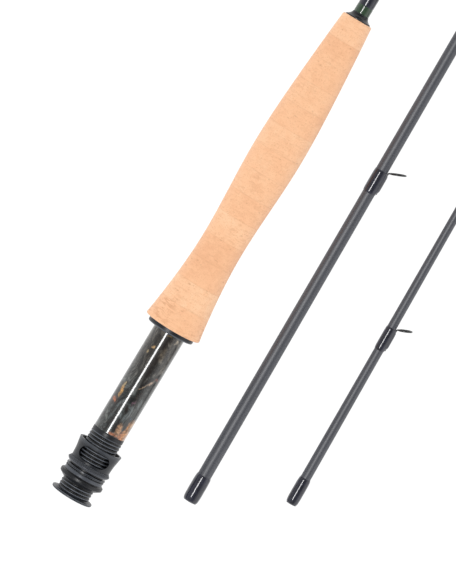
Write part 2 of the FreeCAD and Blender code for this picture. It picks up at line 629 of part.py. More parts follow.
def make_line_guide(section, label, place, radius_at):
    """A single-foot wire guide and the thread wrap that binds its foot to the blank."""
    guide = section_body(label, section)
    foot_end = f"({place} - guide_foot_length)"
    foot_line = f"(-{radius_at(foot_end)} - foot_radius)"
    loop_base = (f"({place} + guide_neck * sin(guide_lean * 1 deg))",
                 f"({foot_line} - guide_neck * cos(guide_lean * 1 deg))")
    wire_run(guide, "Foot", [(foot_end, foot_line), (place, foot_line), loop_base])
    wire_ring(guide, "Loop", loop_base, "guide_lean", f"{section}_loop_radius")
    make_foot_wrap(f"{label}_wrap", section, radius_at, f"({foot_end} - guide_wrap_lead)",
                   "(guide_foot_length + guide_wrap_lead - foot_radius)", foot_end,
                   "guide_foot_length", foot_line)


def make_line_guides(section, first, last, shares, radius_at):
    """The line guides of one section: a first, a last, and others at shares of the run between."""
    for number, share in enumerate(shares, start=1):
        make_line_guide(section, f"{section}_guide_{number}",
                        f"({first} + {share} * ({last} - {first}))", radius_at)


def make_ferrule_wrap(section, radius_at):
    """The thread wrap that keeps a section's socket from splitting."""
    turned(f"{section}_ferrule_wrap", wrap_outline(
        "ferrule_wrap_start", "ferrule_wrap_length", "ferrule_wrap_height", radius_at), section)


# ---- middle and tip sections ----

def make_middle_section():
    """The middle section: a tapered tube with a socket below and a spigot above, and guides."""
    socket_depth = "(spigot_length + socket_spare)"
    turned("mid_blank", [
        ("0", mid_socket_radius), ("0", mid_blank_radius),
        (mid_spigot_start, "mid_shoulder_radius"), (mid_spigot_start, mid_spigot_radius),
        ("mid_section_length", mid_spigot_radius),
        ("mid_section_length", f"{mid_spigot_radius} - mid_wall"),
        (mid_spigot_start, f"{mid_spigot_radius} - mid_wall"),
        (socket_depth, f"{mid_radius(socket_depth)} - mid_wall"),
        (socket_depth, mid_socket_radius)], "mid")
    make_ferrule_wrap("mid", mid_radius)
    make_line_guides("mid", "mid_first_guide_at", f"({mid_spigot_start} - mid_last_guide_below)",
                     MID_GUIDE_SHARES, mid_radius)


def make_tip_section():
    """The tip section: a fine tapered tube with a socket, guides and the tip top."""
    socket_depth = "(spigot_length + socket_spare)"
    turned("tip_blank", [
        ("0", tip_socket_radius), ("0", tip_blank_radius), ("tip_step_at", "tip_step_radius"),
        ("tip_section_length", "tip_end_radius"),
        ("tip_section_length", "tip_end_radius - tip_end_wall"),
        ("tip_step_at", "tip_step_radius - tip_wall"),
        (socket_depth, f"{tip_radius(socket_depth)} - tip_wall"),
        (socket_depth, tip_socket_radius)], "tip")
    make_ferrule_wrap("tip", tip_radius)
    make_line_guides("tip", "tip_first_guide_at", "(tip_section_length - tip_last_guide_below)",
                     TIP_GUIDE_SHARES, tip_radius)

    tube_start = "(tip_section_length - tip_top_length)"
    tube_radius = f"({tip_radius(tube_start)} + tip_top_wall)"
    tube_end = "(tip_section_length + tip_top_cap)"
    tip_top = turned("tip_top", [
        (tube_start, tip_radius(tube_start)), (tube_start, tube_radius), (tube_end, tube_radius),
        (tube_end, "0"), ("tip_section_length", "0"), ("tip_section_length", "tip_end_radius")],
        "tip")
    wire_ring(tip_top, "Loop", (tube_end, "0"), "guide_lean", "tip_top_loop_radius")
    turned("tip_top_wrap", wrap_outline(
        f"({tube_start} - tip_top_wrap_length)", "tip_top_wrap_length", "wrap_height",
        tip_radius), "tip")


def check_document():
    """Stop unless every object is up to date and every sub-part is one valid solid or more."""
    for item in doc.Objects:
        if {"Invalid", "Error"} & set(item.State):
            raise RuntimeError(f"{item.Label} did not compute: {item.State}")
    for part in sub_parts:
        shape = part.Shape
        if shape.isNull() or not shape.isValid() or not shape.Solids:
            raise RuntimeError(f"{part.Label} has no valid solid")


make_barrel_and_cap()
make_nuts()
make_sliding_hood()
make_insert_and_fixed_hood()
make_grip()
make_butt_blank()
make_check_and_butt_wraps()
make_stripping_guide()
make_middle_section()
make_tip_section()
doc.recompute()
check_document()

os.makedirs("parts", exist_ok=True)
for part in sub_parts:
    part.Shape.exportStep(f"parts/{part.Label}.step")
print(len(sub_parts), "sub-parts written")
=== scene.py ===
import json
import math
from collections import namedtuple

import bmesh
import bpy
import numpy as np
from mathutils import Matrix, Vector


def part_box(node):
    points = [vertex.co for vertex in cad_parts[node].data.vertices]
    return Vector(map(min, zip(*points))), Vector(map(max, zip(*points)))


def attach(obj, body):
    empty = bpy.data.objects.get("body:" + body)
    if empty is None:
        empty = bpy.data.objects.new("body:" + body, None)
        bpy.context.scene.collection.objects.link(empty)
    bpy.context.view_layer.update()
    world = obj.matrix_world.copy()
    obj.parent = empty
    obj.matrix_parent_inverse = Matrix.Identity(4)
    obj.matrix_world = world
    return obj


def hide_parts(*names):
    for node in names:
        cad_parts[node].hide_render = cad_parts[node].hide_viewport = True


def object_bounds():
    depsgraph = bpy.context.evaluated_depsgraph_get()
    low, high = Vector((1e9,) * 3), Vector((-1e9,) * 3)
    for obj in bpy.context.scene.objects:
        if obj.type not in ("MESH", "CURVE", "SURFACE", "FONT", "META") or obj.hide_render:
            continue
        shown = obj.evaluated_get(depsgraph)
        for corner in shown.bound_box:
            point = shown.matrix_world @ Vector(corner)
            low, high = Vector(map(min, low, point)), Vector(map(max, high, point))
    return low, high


# A fly rod taken apart into its butt, middle and tip sections.  Each piece is a surface worked
# out on a grid in its own section's axes (x along the section, y beside it, z up) and then
# placed in the frame.  Lengths are in metres; MM turns a length in millimetres into one.

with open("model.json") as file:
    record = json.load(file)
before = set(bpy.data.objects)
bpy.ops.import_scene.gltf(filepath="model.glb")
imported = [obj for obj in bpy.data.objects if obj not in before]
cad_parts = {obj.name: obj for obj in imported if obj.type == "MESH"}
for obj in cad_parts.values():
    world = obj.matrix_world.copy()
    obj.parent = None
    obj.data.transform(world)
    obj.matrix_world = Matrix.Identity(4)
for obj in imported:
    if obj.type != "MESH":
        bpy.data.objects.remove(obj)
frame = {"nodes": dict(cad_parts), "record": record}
cad_box = [list(corner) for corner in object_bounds()]

MM = 0.001
THREAD_PITCH = 1.75 * MM
BARREL_RADIUS = 8.4 * MM
NUT_BORE = 8.45 * MM
ARBOR_BORE = 7.0 * MM
SECTION_LENGTH = 745 * MM
SPIGOT_START = 695 * MM
TIP_SHOULDER = 165 * MM
GUIDE_FOOT = 11.5 * MM
GUIDE_WRAP = 12.5 * MM
WRAP_BEFORE_FOOT = 1.2 * MM
WRAP_HEIGHT = 0.38 * MM
GUIDE_LEAN = math.radians(21.7)
GUIDE_OUTWARD = np.array([math.sin(GUIDE_LEAN), -math.cos(GUIDE_LEAN), 0])
GUIDE_ACROSS = np.array([math.cos(GUIDE_LEAN), math.sin(GUIDE_LEAN), 0])
CORK_EDGE = 0.8 * MM
AROUND_CORK = 300
AROUND_BARREL = 120


# ---- sections ----

# How a section's own points are placed in the frame, its body, and its blank's outer radius.
# The seat's moving parts are the butt section with bodies of their own.
Section = namedtuple("Section", "place body radius")


def butt_place(points):
    """Butt section: its own axes are the frame's."""
    return points


def loose_section(socket):
    """Place of a loose section, from the mount that states its socket.

    A point (x, y, z) goes to lower end + x a + y b + z c, where a runs along the section.
    """
    mount = next(item for item in frame["record"]["mounts"] if item["name"] == socket)
    along = -np.array(mount["axis"])
    lower_end = np.array(mount["pos_m"]) - along * mount["dims"]["length_mm"] * MM / 2
    axes = np.stack([along, np.cross((0, 0, 1), along), (0, 0, 1)])

    def place(points):
        return lower_end + points @ axes

    place.lower_end = lower_end
    place.along = along
    return place


def span(node):
    """Lowest and highest x of a node on the butt section, and its radius."""
    low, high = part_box(node)
    return low.x, high.x, high.z


def middle_of(node, place):
    """Where the middle of a node's box lies along a loose section."""
    low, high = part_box(node)
    return float((np.array((low + high) / 2) - place.lower_end) @ place.along)


def taper(place, start, start_radius, end, end_radius):
    """Radius of a straight taper at a place along it."""
    return start_radius + (end_radius - start_radius) * (place - start) / (end - start)


def butt_radius(place):
    """Outer radius of the butt blank."""
    return taper(place, 8 * MM, 4.25 * MM, SPIGOT_START, 2.9 * MM)


def middle_radius(place):
    """Outer radius of the middle blank."""
    return taper(place, 0, 3.45 * MM, SPIGOT_START, 2.08 * MM)


def tip_radius(place):
    """Outer radius of the tip blank, which tapers more quickly near its lower end."""
    return np.interp(place, (0, TIP_SHOULDER, SECTION_LENGTH), (2.6 * MM, 2.1 * MM, 0.9 * MM))


butt = Section(butt_place, "butt_section", butt_radius)
middle = Section(loose_section("middle_socket"), "middle_section", middle_radius)
tip = Section(loose_section("tip_socket"), "tip_section", tip_radius)
hood, hood_nut, jam_screw, jam_slider = (
    butt._replace(body=body) for body in ("hood", "hood_nut", "jam_screw", "jam_slider"))


# ---- grids and meshes ----

def ease(value, low, high):
    """0 below low, 1 above high, and 3 t^2 - 2 t^3 between."""
    t = np.clip((value - low) / (high - low), 0, 1)
    return t * t * (3 - 2 * t)


def grid_quads(rows, columns, closed_rows, closed_columns):
    """Corner numbers of a grid's four-sided faces; a closed direction wraps round."""
    row, column = np.meshgrid(np.arange(rows if closed_rows else rows - 1),
                              np.arange(columns if closed_columns else columns - 1), indexing="ij")
    next_row, next_column = (row + 1) % rows, (column + 1) % columns
    return np.stack([row * columns + column, row * columns + next_column,
                     next_row * columns + next_column, next_row * columns + column],
                    -1).reshape(-1, 4)


def turned_out(points, quads):
    """The faces of a closed surface, turned round if the volume that they enclose is negative."""
    a, b, c, d = (points[quads[:, corner]] - points.mean(0) for corner in range(4))
    volume = np.einsum("ij,ij->", a, np.cross(b, c)) + np.einsum("ij,ij->", a, np.cross(c, d))
    return quads if volume > 0 else quads[:, ::-1]


def make_piece(name, grids, section, node, finish, weld=False):
    """A piece in place of a node, from grids: (points, closed rows, closed columns, marks).

    Marks are numbers per point that the finishes read.  "along" is always one of them: the
    place along the section.  A finish is the name of its slot and its material; the slot's name
    is not used.  Welding merges doubled points and turns all faces outwards.
    """
    all_points, all_quads, all_marks = [], [], {"along": []}
    slot, material = finish
    count = 0
    for points, closed_rows, closed_columns, marks in grids:
        rows, columns = points.shape[:2]
        flat = points.reshape(-1, 3)
        quads = grid_quads(rows, columns, closed_rows, closed_columns)
        all_quads.append((quads if weld else turned_out(flat, quads)) + count)
        all_points.append(flat)
        all_marks["along"].append(flat[:, 0])
        for mark, values in marks.items():
            all_marks.setdefault(mark, []).append(
                np.broadcast_to(values, (rows, columns)).reshape(-1))
        count += len(flat)
    mesh = bpy.data.meshes.new(name)
    mesh.from_pydata(section.place(np.concatenate(all_points)), [], np.concatenate(all_quads))
    for mark, values in all_marks.items():
        layer = mesh.attributes.new(mark, "FLOAT", "POINT")
        layer.data.foreach_set("value", np.concatenate(values).astype(np.float32))
    form = bmesh.new()
    form.from_mesh(mesh)
    bmesh.ops.remove_doubles(form, verts=form.verts, dist=1e-7)
    if weld:
        bmesh.ops.recalc_face_normals(form, faces=form.faces)
    form.to_mesh(mesh)
    form.free()
    mesh.shade_smooth()
    mesh.materials.append(material)
    piece = bpy.data.objects.new(name, mesh)
    bpy.context.scene.collection.objects.link(piece)
    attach(piece, section.body)
    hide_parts(node)
    return piece


def rounded(outline, radius, steps=4, closed=True):
    """An outline whose corners are rounded.

    A corner P with A before it and B after it, both at the corner's radius, becomes
    (1-t)^2 A + 2 t (1-t) P + t^2 B, and one more point beyond each end keeps the sides flat.
    """
    corner = np.array(outline, float)
    back = np.roll(corner, 1, 0) - corner
    ahead = np.roll(corner, -1, 0) - corner
    if not closed:
        back[0], ahead[-1] = -ahead[0], -back[-1]
    back_length = np.linalg.norm(back, axis=1)
    ahead_length = np.linalg.norm(ahead, axis=1)
    reach = np.minimum(np.broadcast_to(radius, len(corner)),
                       0.42 * np.minimum(back_length, ahead_length))
    if not closed:
        reach[[0, -1]] = 0
    back = (back * (reach / back_length)[:, None])[:, None]
    ahead = (ahead * (reach / ahead_length)[:, None])[:, None]
    t = np.linspace(0, 1, steps + 1)[None, :, None]
    arc = corner[:, None] + (1 - t) ** 2 * back + t ** 2 * ahead
    return np.concatenate([corner[:, None] + 1.15 * back, arc, corner[:, None] + 1.15 * ahead],
                          1).reshape(-1, 2)


def denser(outline, spacing):
    """A closed outline with more points along its sides, none further apart than the spacing."""
    closed = np.concatenate([outline, outline[:1]])
    reached = np.concatenate([[0], np.cumsum(np.linalg.norm(np.diff(closed, axis=0), axis=1))])
    places = np.unique(np.concatenate([reached[:-1], np.arange(0, reached[-1], spacing)]))
    return np.stack([np.interp(places, reached, closed[:, part]) for part in (0, 1)], -1)


def once_round(count):
    """Even angles once round, as one row."""
    return np.linspace(0, 2 * np.pi, count, endpoint=False)[None, :]


def on_axis(x, radius, angle):
    """Points from grids of place along x, radius and angle: (x, r cos a, r sin a)."""
    x, radius, angle = np.broadcast_arrays(x, radius, angle)
    return np.stack([x, radius * np.cos(angle), radius * np.sin(angle)], -1)


def round_the_axis(outline, around):
    """Surface of an outline of (x, radius) points turned once about x."""
    return on_axis(outline[:, :1], outline[:, 1:], once_round(around))


def corners_of(outline):
    """How sharply a closed outline turns at each point: 1 at outward corners, -1 at inward ones."""
    ahead = np.roll(outline, -1, 0) - outline
    back = np.roll(ahead, 1, 0)
    turn = np.arctan2(back[:, 1] * ahead[:, 0] - back[:, 0] * ahead[:, 1], (back * ahead).sum(1))
    turn = (turn + np.roll(turn, 1) + np.roll(turn, -1)) / 3
    return np.clip(turn / 0.3, -1, 1)


def turned_piece(name, outline, section, node, finish, around=160, closed=True, painted_light_stretches=()):
    """A turned piece from one outline of (x, radius) points.

    An open outline starts and ends on the axis.  The "edge" mark is above 0 on outward corners,
    which go lighter as edge wear and painted highlight, and below 0 in grooves, which go darker as
    painted shade; painted light stretches, each (lower x, upper x, value), set it on a stretch.
    """
    outline = np.asarray(outline, float)
    marks = {"edge": corners_of(outline)[:, None]}
    for low, high, value in painted_light_stretches:
        marks["edge"][(outline[:, 0] > low) & (outline[:, 0] < high)] = value
    surface = round_the_axis(outline, around)
    make_piece(name, [(surface, closed, True, marks)], section, node, finish)


def tube_along(path, radius, across, around=16, closed=False):
    """Round wire along a path: p + r (cos a) n + r (sin a) b.

    n is square to the path and to across, and b is square to both.  The ends of an open path
    close in a dome.
    """
    path = np.asarray(path, float)
    if closed:
        tangent = np.roll(path, -1, 0) - np.roll(path, 1, 0)
    else:
        tangent = np.gradient(path, axis=0)
    tangent /= np.linalg.norm(tangent, axis=1, keepdims=True)
    side = np.cross(tangent, across)
    side /= np.linalg.norm(side, axis=1, keepdims=True)
    other = np.cross(side, tangent)
    radius = np.broadcast_to(radius, len(path)).astype(float)
    if not closed:
        bend = np.linspace(0, np.pi / 2, 5)
        start = path[0] - tangent[0] * radius[0] * np.cos(bend)[:, None]
        end = path[-1] + tangent[-1] * radius[-1] * np.cos(bend)[::-1, None]
        path = np.concatenate([start, path[1:-1], end])
        radius = np.concatenate([radius[0] * np.sin(bend), radius[1:-1],
                                 radius[-1] * np.sin(bend)[::-1]])
        side, other = (np.concatenate([np.repeat(v[:1], 5, 0), v[1:-1], np.repeat(v[-1:], 5, 0)])
                       for v in (side, other))
    angle = once_round(around)[..., None]
    ring = np.cos(angle) * side[:, None] + np.sin(angle) * other[:, None]
    return path[:, None] + radius[:, None, None] * ring


def bent_path(corners, reach, steps=8):
    """A path through corners in space, each turned with (1-t)^2 A + 2 t (1-t) P + t^2 B."""
    corners = np.array(corners, float)
    inner = corners[1:-1]
    back, ahead = corners[:-2] - inner, corners[2:] - inner
    back *= (reach / np.linalg.norm(back, axis=1))[:, None]
    ahead *= (reach / np.linalg.norm(ahead, axis=1))[:, None]
    t = np.linspace(0, 1, steps)[None, :, None]
    arcs = inner[:, None] + (1 - t) ** 2 * back[:, None] + t ** 2 * ahead[:, None]
    return np.concatenate([corners[:1], arcs.reshape(-1, 3), corners[-1:]])


# ---- finishes ----

class Shade:
    """A shader value; Python's operators on it add Math nodes."""

    def __init__(self, finish, socket):
        self.finish = finish
        self.socket = socket

    def __add__(self, other):
        return self.finish.maths("ADD", self, other)

    def __sub__(self, other):
        return self.finish.maths("SUBTRACT", self, other)

    def __rsub__(self, other):
        return self.finish.maths("SUBTRACT", other, self)

    def __mul__(self, other):
        return self.finish.maths("MULTIPLY", self, other)

    __radd__ = __add__
    __rmul__ = __mul__


def socket_name(word):
    """The shader's own name for a socket, such as Base Color for base_color."""
    return word.replace("_", " ").title().replace("Ior", "IOR")


class Nodes:
    """The nodes of a material or of the world."""

    def __init__(self, tree):
        self.tree = tree

    def node(self, kind, settings=None, inputs=None, output=0):
        """Add a node: its settings first, then the values or links of its sockets."""
        node = self.tree.nodes.new(kind)
        for setting, value in (settings or {}).items():
            if setting == "stops":
                ramp = node.color_ramp
                while len(ramp.elements) < len(value):
                    ramp.elements.new(1)
                for element, (position, colour) in zip(ramp.elements, value):
                    element.position = position
                    element.color = colour
            else:
                setattr(node, setting, value)
        for socket, value in (inputs or {}).items():
            self.feed(node.inputs[socket], value)
        if isinstance(output, tuple):
            return tuple(Shade(self, node.outputs[one]) for one in output)
        return Shade(self, node.outputs[output])

    def feed(self, socket, value):
        """Link a shader value to a socket, or set a number or colour on it."""
        if isinstance(value, Shade):
            self.tree.links.new(value.socket, socket)
        else:
            socket.default_value = value

    def maths(self, operation, *values):
        return self.node("ShaderNodeMath", {"operation": operation}, dict(enumerate(values)))

    def parts(self, vector):
        """The three numbers of a vector."""
        return self.node("ShaderNodeSeparateXYZ", None, {0: vector}, (0, 1, 2))

    def step(self, value, low, high):
        """0 below low, 1 above high, smooth between."""
        return self.node("ShaderNodeMapRange", {"interpolation_type": "SMOOTHSTEP"},
                         {"Value": value, "From Min": low, "From Max": high})


class Finish(Nodes):
    """A material with one Principled shader, and the nodes that vary it."""

    def __init__(self, name, **constants):
        self.material = bpy.data.materials.new(name)
        self.material.use_nodes = True
        super().__init__(self.material.node_tree)
        self.shader = self.tree.nodes["Principled BSDF"]
        self.set(**constants)

    def set(self, **inputs):
        """Feed sockets of the Principled shader."""
        for socket, value in inputs.items():
            self.feed(self.shader.inputs[socket_name(socket)], value)

    def mark(self, name):
        """A number stored on the piece's points."""
        return self.node("ShaderNodeAttribute", {"attribute_name": name}, output="Fac")

    def spot(self, scale=(1, 1, 1), offset=(0, 0, 0)):
        """Object coordinates, moved and stretched."""
        place = self.node("ShaderNodeTexCoord", output="Object")
        return self.node("ShaderNodeMapping", None,
                         {"Vector": place, "Location": offset, "Scale": scale})

    def noise(self, scale, detail=3, rough=0.5, warp=0, where=None, output=0):
        """Fractal noise, 0 to 1; output 1 is its colour, three noises in one."""
        inputs = {"Scale": scale, "Detail": detail, "Roughness": rough, "Distortion": warp,
                  "Vector": where or self.spot()}
        return self.node("ShaderNodeTexNoise", None, inputs, output)

    def lines(self, scale):
        """Noise that varies only along the section, 0 to 1."""
        return self.node("ShaderNodeTexNoise", {"noise_dimensions": "1D"},
                         {"W": self.mark("along"), "Scale": scale, "Detail": 2, "Roughness": 0.5})

    def ramp(self, factor, *stops):
        """A colour for each value of a factor."""
        return self.node("ShaderNodeValToRGB", {"stops": stops}, {0: factor})

    def blend(self, factor, first, second, kind="MIX"):
        """Mix two colours."""
        return self.node("ShaderNodeMix", {"data_type": "RGBA", "blend_type": kind},
                         {0: factor, 6: first, 7: second}, 2)

    def bump(self, height, distance, strength=1):
        """Feed a height to the shader's normal."""
        self.set(normal=self.node("ShaderNodeBump", None, {
            "Height": height, "Distance": distance, "Strength": strength}))


def grey(level, tint=(1, 1, 1)):
    """An opaque colour from a grey level and a tint."""
    return tuple(level * part for part in tint) + (1,)


def anodised_black(name, level, roughness, wear_and_painted_light=0.10):
    """Satin black anodised metal: fine turning lines; where the edge mark is above 0 it is lifted
    lighter, as edge wear and painted highlight, and where it is below 0 it goes near black, as
    painted shade.
    """
    finish = Finish(name, ior=1.42)
    lines = finish.lines(9000)
    cloud = finish.noise(260, 3, 0.55)
    edge = finish.mark("edge")
    colour = finish.blend(cloud, grey(level * 0.75, (0.86, 0.96, 1.26)),
                          grey(level * 1.25, (0.88, 0.98, 1.24)))
    # edge wear and painted highlight: outward corners and stretches marked above 0 go lighter
    colour = finish.blend(finish.step(edge, 0.05, 0.9) * (0.7 + cloud * 0.3), colour,
                          grey(level + wear_and_painted_light, (0.88, 0.97, 1.14)))
    # painted shade: grooves and stretches marked below 0 go near black
    colour = finish.blend(finish.step(edge * -1, 0.05, 0.8) * 0.9, colour, grey(0.002))
    finish.set(base_color=colour, roughness=roughness - 0.05 + cloud * 0.1 + lines * 0.04)
    finish.bump(lines + finish.noise(2600, 2) * 0.8, 0.012 * MM, 0.5)
    return finish.material


def marbled_resin():
    """Polished marbled resin: dark grey green clouds, black streaks, copper and amber flecks, and a
    painted dark reflection beside its highlight.

    A fleck is an ellipse about a middle in (x, y), bent by noise: 1 inside and 0 outside.
    """
    finish = Finish("marbled_resin", roughness=0.4, ior=1.35, coat_weight=1.0, coat_roughness=0.012,
                    coat_ior=1.53)
    x, y, z = finish.parts(finish.spot())
    warp_x, warp_y, _ = finish.parts(finish.noise(160, 3, 0.6, 0.6, output=1))
    fine = finish.noise(900, 4, 0.65, 0.4)
    bend = 3.2 * MM
    x_bent = x + (warp_x - 0.5) * bend + (fine - 0.5) * (1.2 * MM)
    y_bent = y + (warp_y - 0.5) * bend + (fine - 0.5) * (1.0 * MM)

    def fleck(middle_x, middle_y, half_length, half_width, lean=0.0, soft=0.45):
        """1 inside a leaning ellipse on the upper side, 0 outside it."""
        from_x, from_y = x_bent - middle_x * MM, y_bent - middle_y * MM
        along = from_x * math.cos(lean) + from_y * math.sin(lean)
        aside = from_y * math.cos(lean) - from_x * math.sin(lean)
        along, aside = along * (1 / (half_length * MM)), aside * (1 / (half_width * MM))
        distance = finish.maths("SQRT", along * along + aside * aside)
        return (1 - finish.step(distance, 1 - soft, 1 + soft)) * finish.step(z, -1 * MM, 1 * MM)

    cloud = finish.noise(1, 6, 0.72, 1.8, finish.spot((90, 150, 150), (0.2, 0.3, 0.1)))
    streak = finish.noise(1, 5, 0.64, 1.6, finish.spot((55, 190, 190), (0.3, 0.1, 0.7)))
    swirl = finish.noise(1, 4, 0.6, 3.0, finish.spot((120, 330, 330), (0.7, 0.4, 0.2)))
    upper = finish.step(x + (cloud - 0.5) * 0.05, 58 * MM, 84 * MM)
    cool = finish.ramp(cloud, (0.38, grey(0.003, (0.9, 1.05, 1.15))),
                       (0.47, grey(0.014, (0.85, 1.05, 1.05))),
                       (0.54, grey(0.045, (0.90, 1.06, 1.02))),
                       (0.62, grey(0.150, (0.93, 1.04, 1.06))))
    warm = finish.ramp(cloud, (0.38, grey(0.004, (1.4, 1.0, 0.8))),
                       (0.47, grey(0.018, (1.2, 1.0, 0.8))),
                       (0.54, grey(0.055, (1.1, 1.0, 0.82))),
                       (0.62, grey(0.150, (1.1, 1.0, 0.84))))
    colour = finish.blend(upper, cool, warm)
    colour = finish.blend(finish.step(streak, 0.50, 0.62) * 0.85, colour, grey(0.005, (1.5, 1, 0.8)))
    pale = finish.step(swirl, 0.56, 0.68) * 0.65
    colour = finish.blend(pale, colour, finish.blend(upper, grey(0.10, (0.86, 1.0, 0.98)),
                                                     grey(0.095, (1.20, 1.0, 0.78))))
    vein = 1 - finish.step(finish.maths("ABSOLUTE", swirl - 0.47), 0.0, 0.012)
    colour = finish.blend(vein * 0.45, colour, grey(0.16, (1.25, 1.0, 0.78)))
    flecks = (
        ((37.6, -6.6, 2.2, 2.1, 0.0), (0.60, 0.22, 0.085)),
        ((40.8, -7.2, 5.2, 1.3, -0.03), (0.58, 0.27, 0.11)),
        ((44.6, -7.5, 2.2, 0.7, 0.0), (0.60, 0.36, 0.19)),
        ((36.7, -2.2, 0.8, 2.4, 0.0), (0.50, 0.20, 0.11)),
        ((39.9, -3.2, 3.1, 1.2, 0.10), (0.54, 0.31, 0.18)),
        ((51.7, 6.0, 1.7, 1.5, 0.3), (0.05, 0.022, 0.014)),
        ((51.7, 6.1, 1.0, 0.8, 0.5), (0.42, 0.13, 0.05)),
        ((57.2, 5.5, 3.2, 0.75, 0.17), (0.62, 0.33, 0.10)),
        ((60.4, 5.75, 1.6, 0.4, -0.1), (0.42, 0.32, 0.17)),
        ((55.0, -2.7, 1.2, 0.5, -0.2), (0.12, 0.07, 0.09)),
        ((65.2, -3.4, 4.6, 0.34, -0.58), (0.26, 0.19, 0.13)),
        ((67.6, -4.8, 1.6, 0.55, -0.5), (0.44, 0.32, 0.24)),
        ((69.7, -6.3, 0.8, 0.7, 0.3), (0.20, 0.10, 0.085)),
        ((83.0, 3.2, 1.0, 0.6, -0.4), (0.50, 0.32, 0.15)),
        ((79.3, 4.3, 0.9, 0.4, 0.4), (0.34, 0.26, 0.14)),
        ((90.0, -5.4, 1.1, 0.5, -0.3), (0.58, 0.48, 0.36)),
        ((91.3, -0.8, 0.5, 1.2, 0.0), (0.20, 0.14, 0.06)),
        ((81.5, -3.2, 3.2, 1.2, 0.1), (0.13, 0.105, 0.075)),
        ((47.6, -5.4, 0.9, 0.5, 0.2), (0.05, 0.09, 0.14)),
        ((43.0, 5.4, 3.0, 0.5, 0.3), (0.12, 0.13, 0.12)),
    )
    mottle = finish.noise(520, 4, 0.7, 0.5)
    # painted reflection: near-black brown bands along the sleeve just beside its highlight, standing
    # for the dark ceiling mirrored in its coat
    for column in ((80, -0.9, 17, 1.3, 0.0, 0.5), (41, -1.1, 5.5, 0.7, 0.0, 0.5),
                   (51, -1.4, 2.0, 1.1, 0.3, 0.5)):
        dark = fleck(*column) * finish.step(mottle, 0.25, 0.5)
        colour = finish.blend(dark * 0.9, colour, grey(0.006, (1.6, 0.95, 0.7)))
    for shape, tint in flecks:
        low = tuple(part * 0.35 for part in tint) + (1,)
        tone = finish.blend(finish.step(mottle, 0.38, 0.58), low, tint + (1,))
        colour = finish.blend(fleck(*shape), colour, tone)
    specks = fleck(39.6, -3.1, 2.4, 0.9) * finish.step(mottle, 0.56, 0.62)
    colour = finish.blend(specks, colour, grey(0.012, (1.5, 1, 0.7)))
    finish.set(base_color=colour)
    return finish.material


def sanded_cork():
    """Sanded cork: each ring has a tone of its own, with soft grain, darker pits and faint seams."""
    finish = Finish("sanded_cork", ior=1.4, sheen_weight=0.15, sheen_roughness=0.6)
    tone, pit, seam, lined = (finish.mark(name) for name in ("tone", "pit", "seam", "lined"))
    cloud = finish.noise(55, 3, 0.5, 0.4)
    grain = finish.noise(300, 4, 0.7, 0.6)
    streak = finish.noise(1, 4, 0.65, 0.5, finish.spot((800, 200, 200), (0.2, 0.5, 0.1)))
    patch = finish.noise(1, 2, 0.5, 0.4, finish.spot((60, 110, 110), (0.4, 0.2, 0.6)))
    lined = lined * finish.step(patch, 0.42, 0.60)
    speck = finish.noise(1500, 2, 0.6)
    level = cloud * 0.5 + grain * 0.5 + tone
    colour = finish.ramp(level, (0.30, (0.88, 0.47, 0.26, 1)), (0.46, (0.94, 0.53, 0.30, 1)),
                         (0.58, (0.96, 0.565, 0.33, 1)), (0.74, (0.98, 0.62, 0.38, 1)))
    colour = finish.blend(finish.step(streak, 0.48, 0.60) * (0.20 + lined * 0.65), colour,
                          (0.74, 0.38, 0.20, 1))
    colour = finish.blend(finish.step(speck, 0.55, 0.68) * 0.55, colour, (0.76, 0.38, 0.20, 1))
    colour = finish.blend(pit * 0.7, colour, (0.52, 0.26, 0.13, 1))
    colour = finish.blend(seam * 0.16, colour, (0.60, 0.30, 0.15, 1))
    finish.set(base_color=colour, roughness=0.62 + grain * 0.2)
    finish.bump(grain + speck * 0.6 + streak * lined - pit * 1.5, 0.06 * MM, 0.7)
    return finish.material


def bare_graphite():
    """Unsanded graphite: fine bands across the blank, matte, grey with a slight blue cast."""
    finish = Finish("bare_graphite", ior=1.85)
    bands = finish.lines(1500)
    fibre = finish.noise(900, 3, 0.6)
    level = bands * 0.6 + finish.lines(60) * 0.25 + fibre * 0.15
    finish.set(base_color=finish.ramp(level, (0.30, grey(0.027, (0.84, 0.94, 1.34))),
                                      (0.52, grey(0.036, (0.86, 0.95, 1.32))),
                                      (0.75, grey(0.049, (0.88, 0.96, 1.28)))),
               roughness=0.44 + bands * 0.12)
    finish.bump(bands + fibre * 0.2, 0.03 * MM, 0.7)
    return finish.material


def varnished_thread(name, dark, light, lines_level):
    """Silk thread wound close, under clear varnish: threads show faintly below a glossy coat."""
    finish = Finish(name, ior=1.35, coat_weight=1.0, coat_roughness=0.02, coat_ior=1.46)
    thread = finish.maths("SINE", finish.mark("along") * (2 * math.pi / (0.26 * MM)))
    uneven = finish.noise(340, 3, 0.6)
    level = thread * lines_level + uneven
    finish.set(base_color=finish.blend(finish.step(level, 0.25, 0.75), dark, light),
               roughness=0.34 + uneven * 0.2)
    finish.bump(thread, 0.02 * MM, 0.4)
    return finish.material


def bare_metal(name, stretch, dark, light, uneven):
    """Bare metal with faint drawing marks, which are noise stretched by three scales."""
    finish = Finish(name, metallic=1.0)
    marks = finish.noise(1, 3, 0.6, 0, finish.spot(stretch))
    finish.set(base_color=finish.blend(marks, dark, light), roughness=0.2 + marks * uneven)
    return finish.material


def polished_ceramic():
    """Polished black ceramic, very slightly clouded."""
    finish = Finish("polished_ceramic", ior=1.9)
    cloud = finish.noise(500, 2)
    finish.set(base_color=finish.blend(cloud, grey(0.012), grey(0.03)), roughness=0.05 + cloud * 0.06)
    return finish.material


def arbor_board():
    """Pressed cork board of the hidden bushes: coarse grains in two browns."""
    finish = Finish("pressed_board", ior=1.4)
    grains = finish.node("ShaderNodeTexVoronoi", None, {"Scale": 900, "Vector": finish.spot()})
    finish.set(base_color=finish.blend(finish.step(grains, 0.1, 0.5), (0.45, 0.34, 0.22, 1),
                                       (0.62, 0.50, 0.36, 1)),
               roughness=0.75 + grains * 0.15)
    finish.bump(grains, 0.08 * MM, 0.5)
    return finish.material


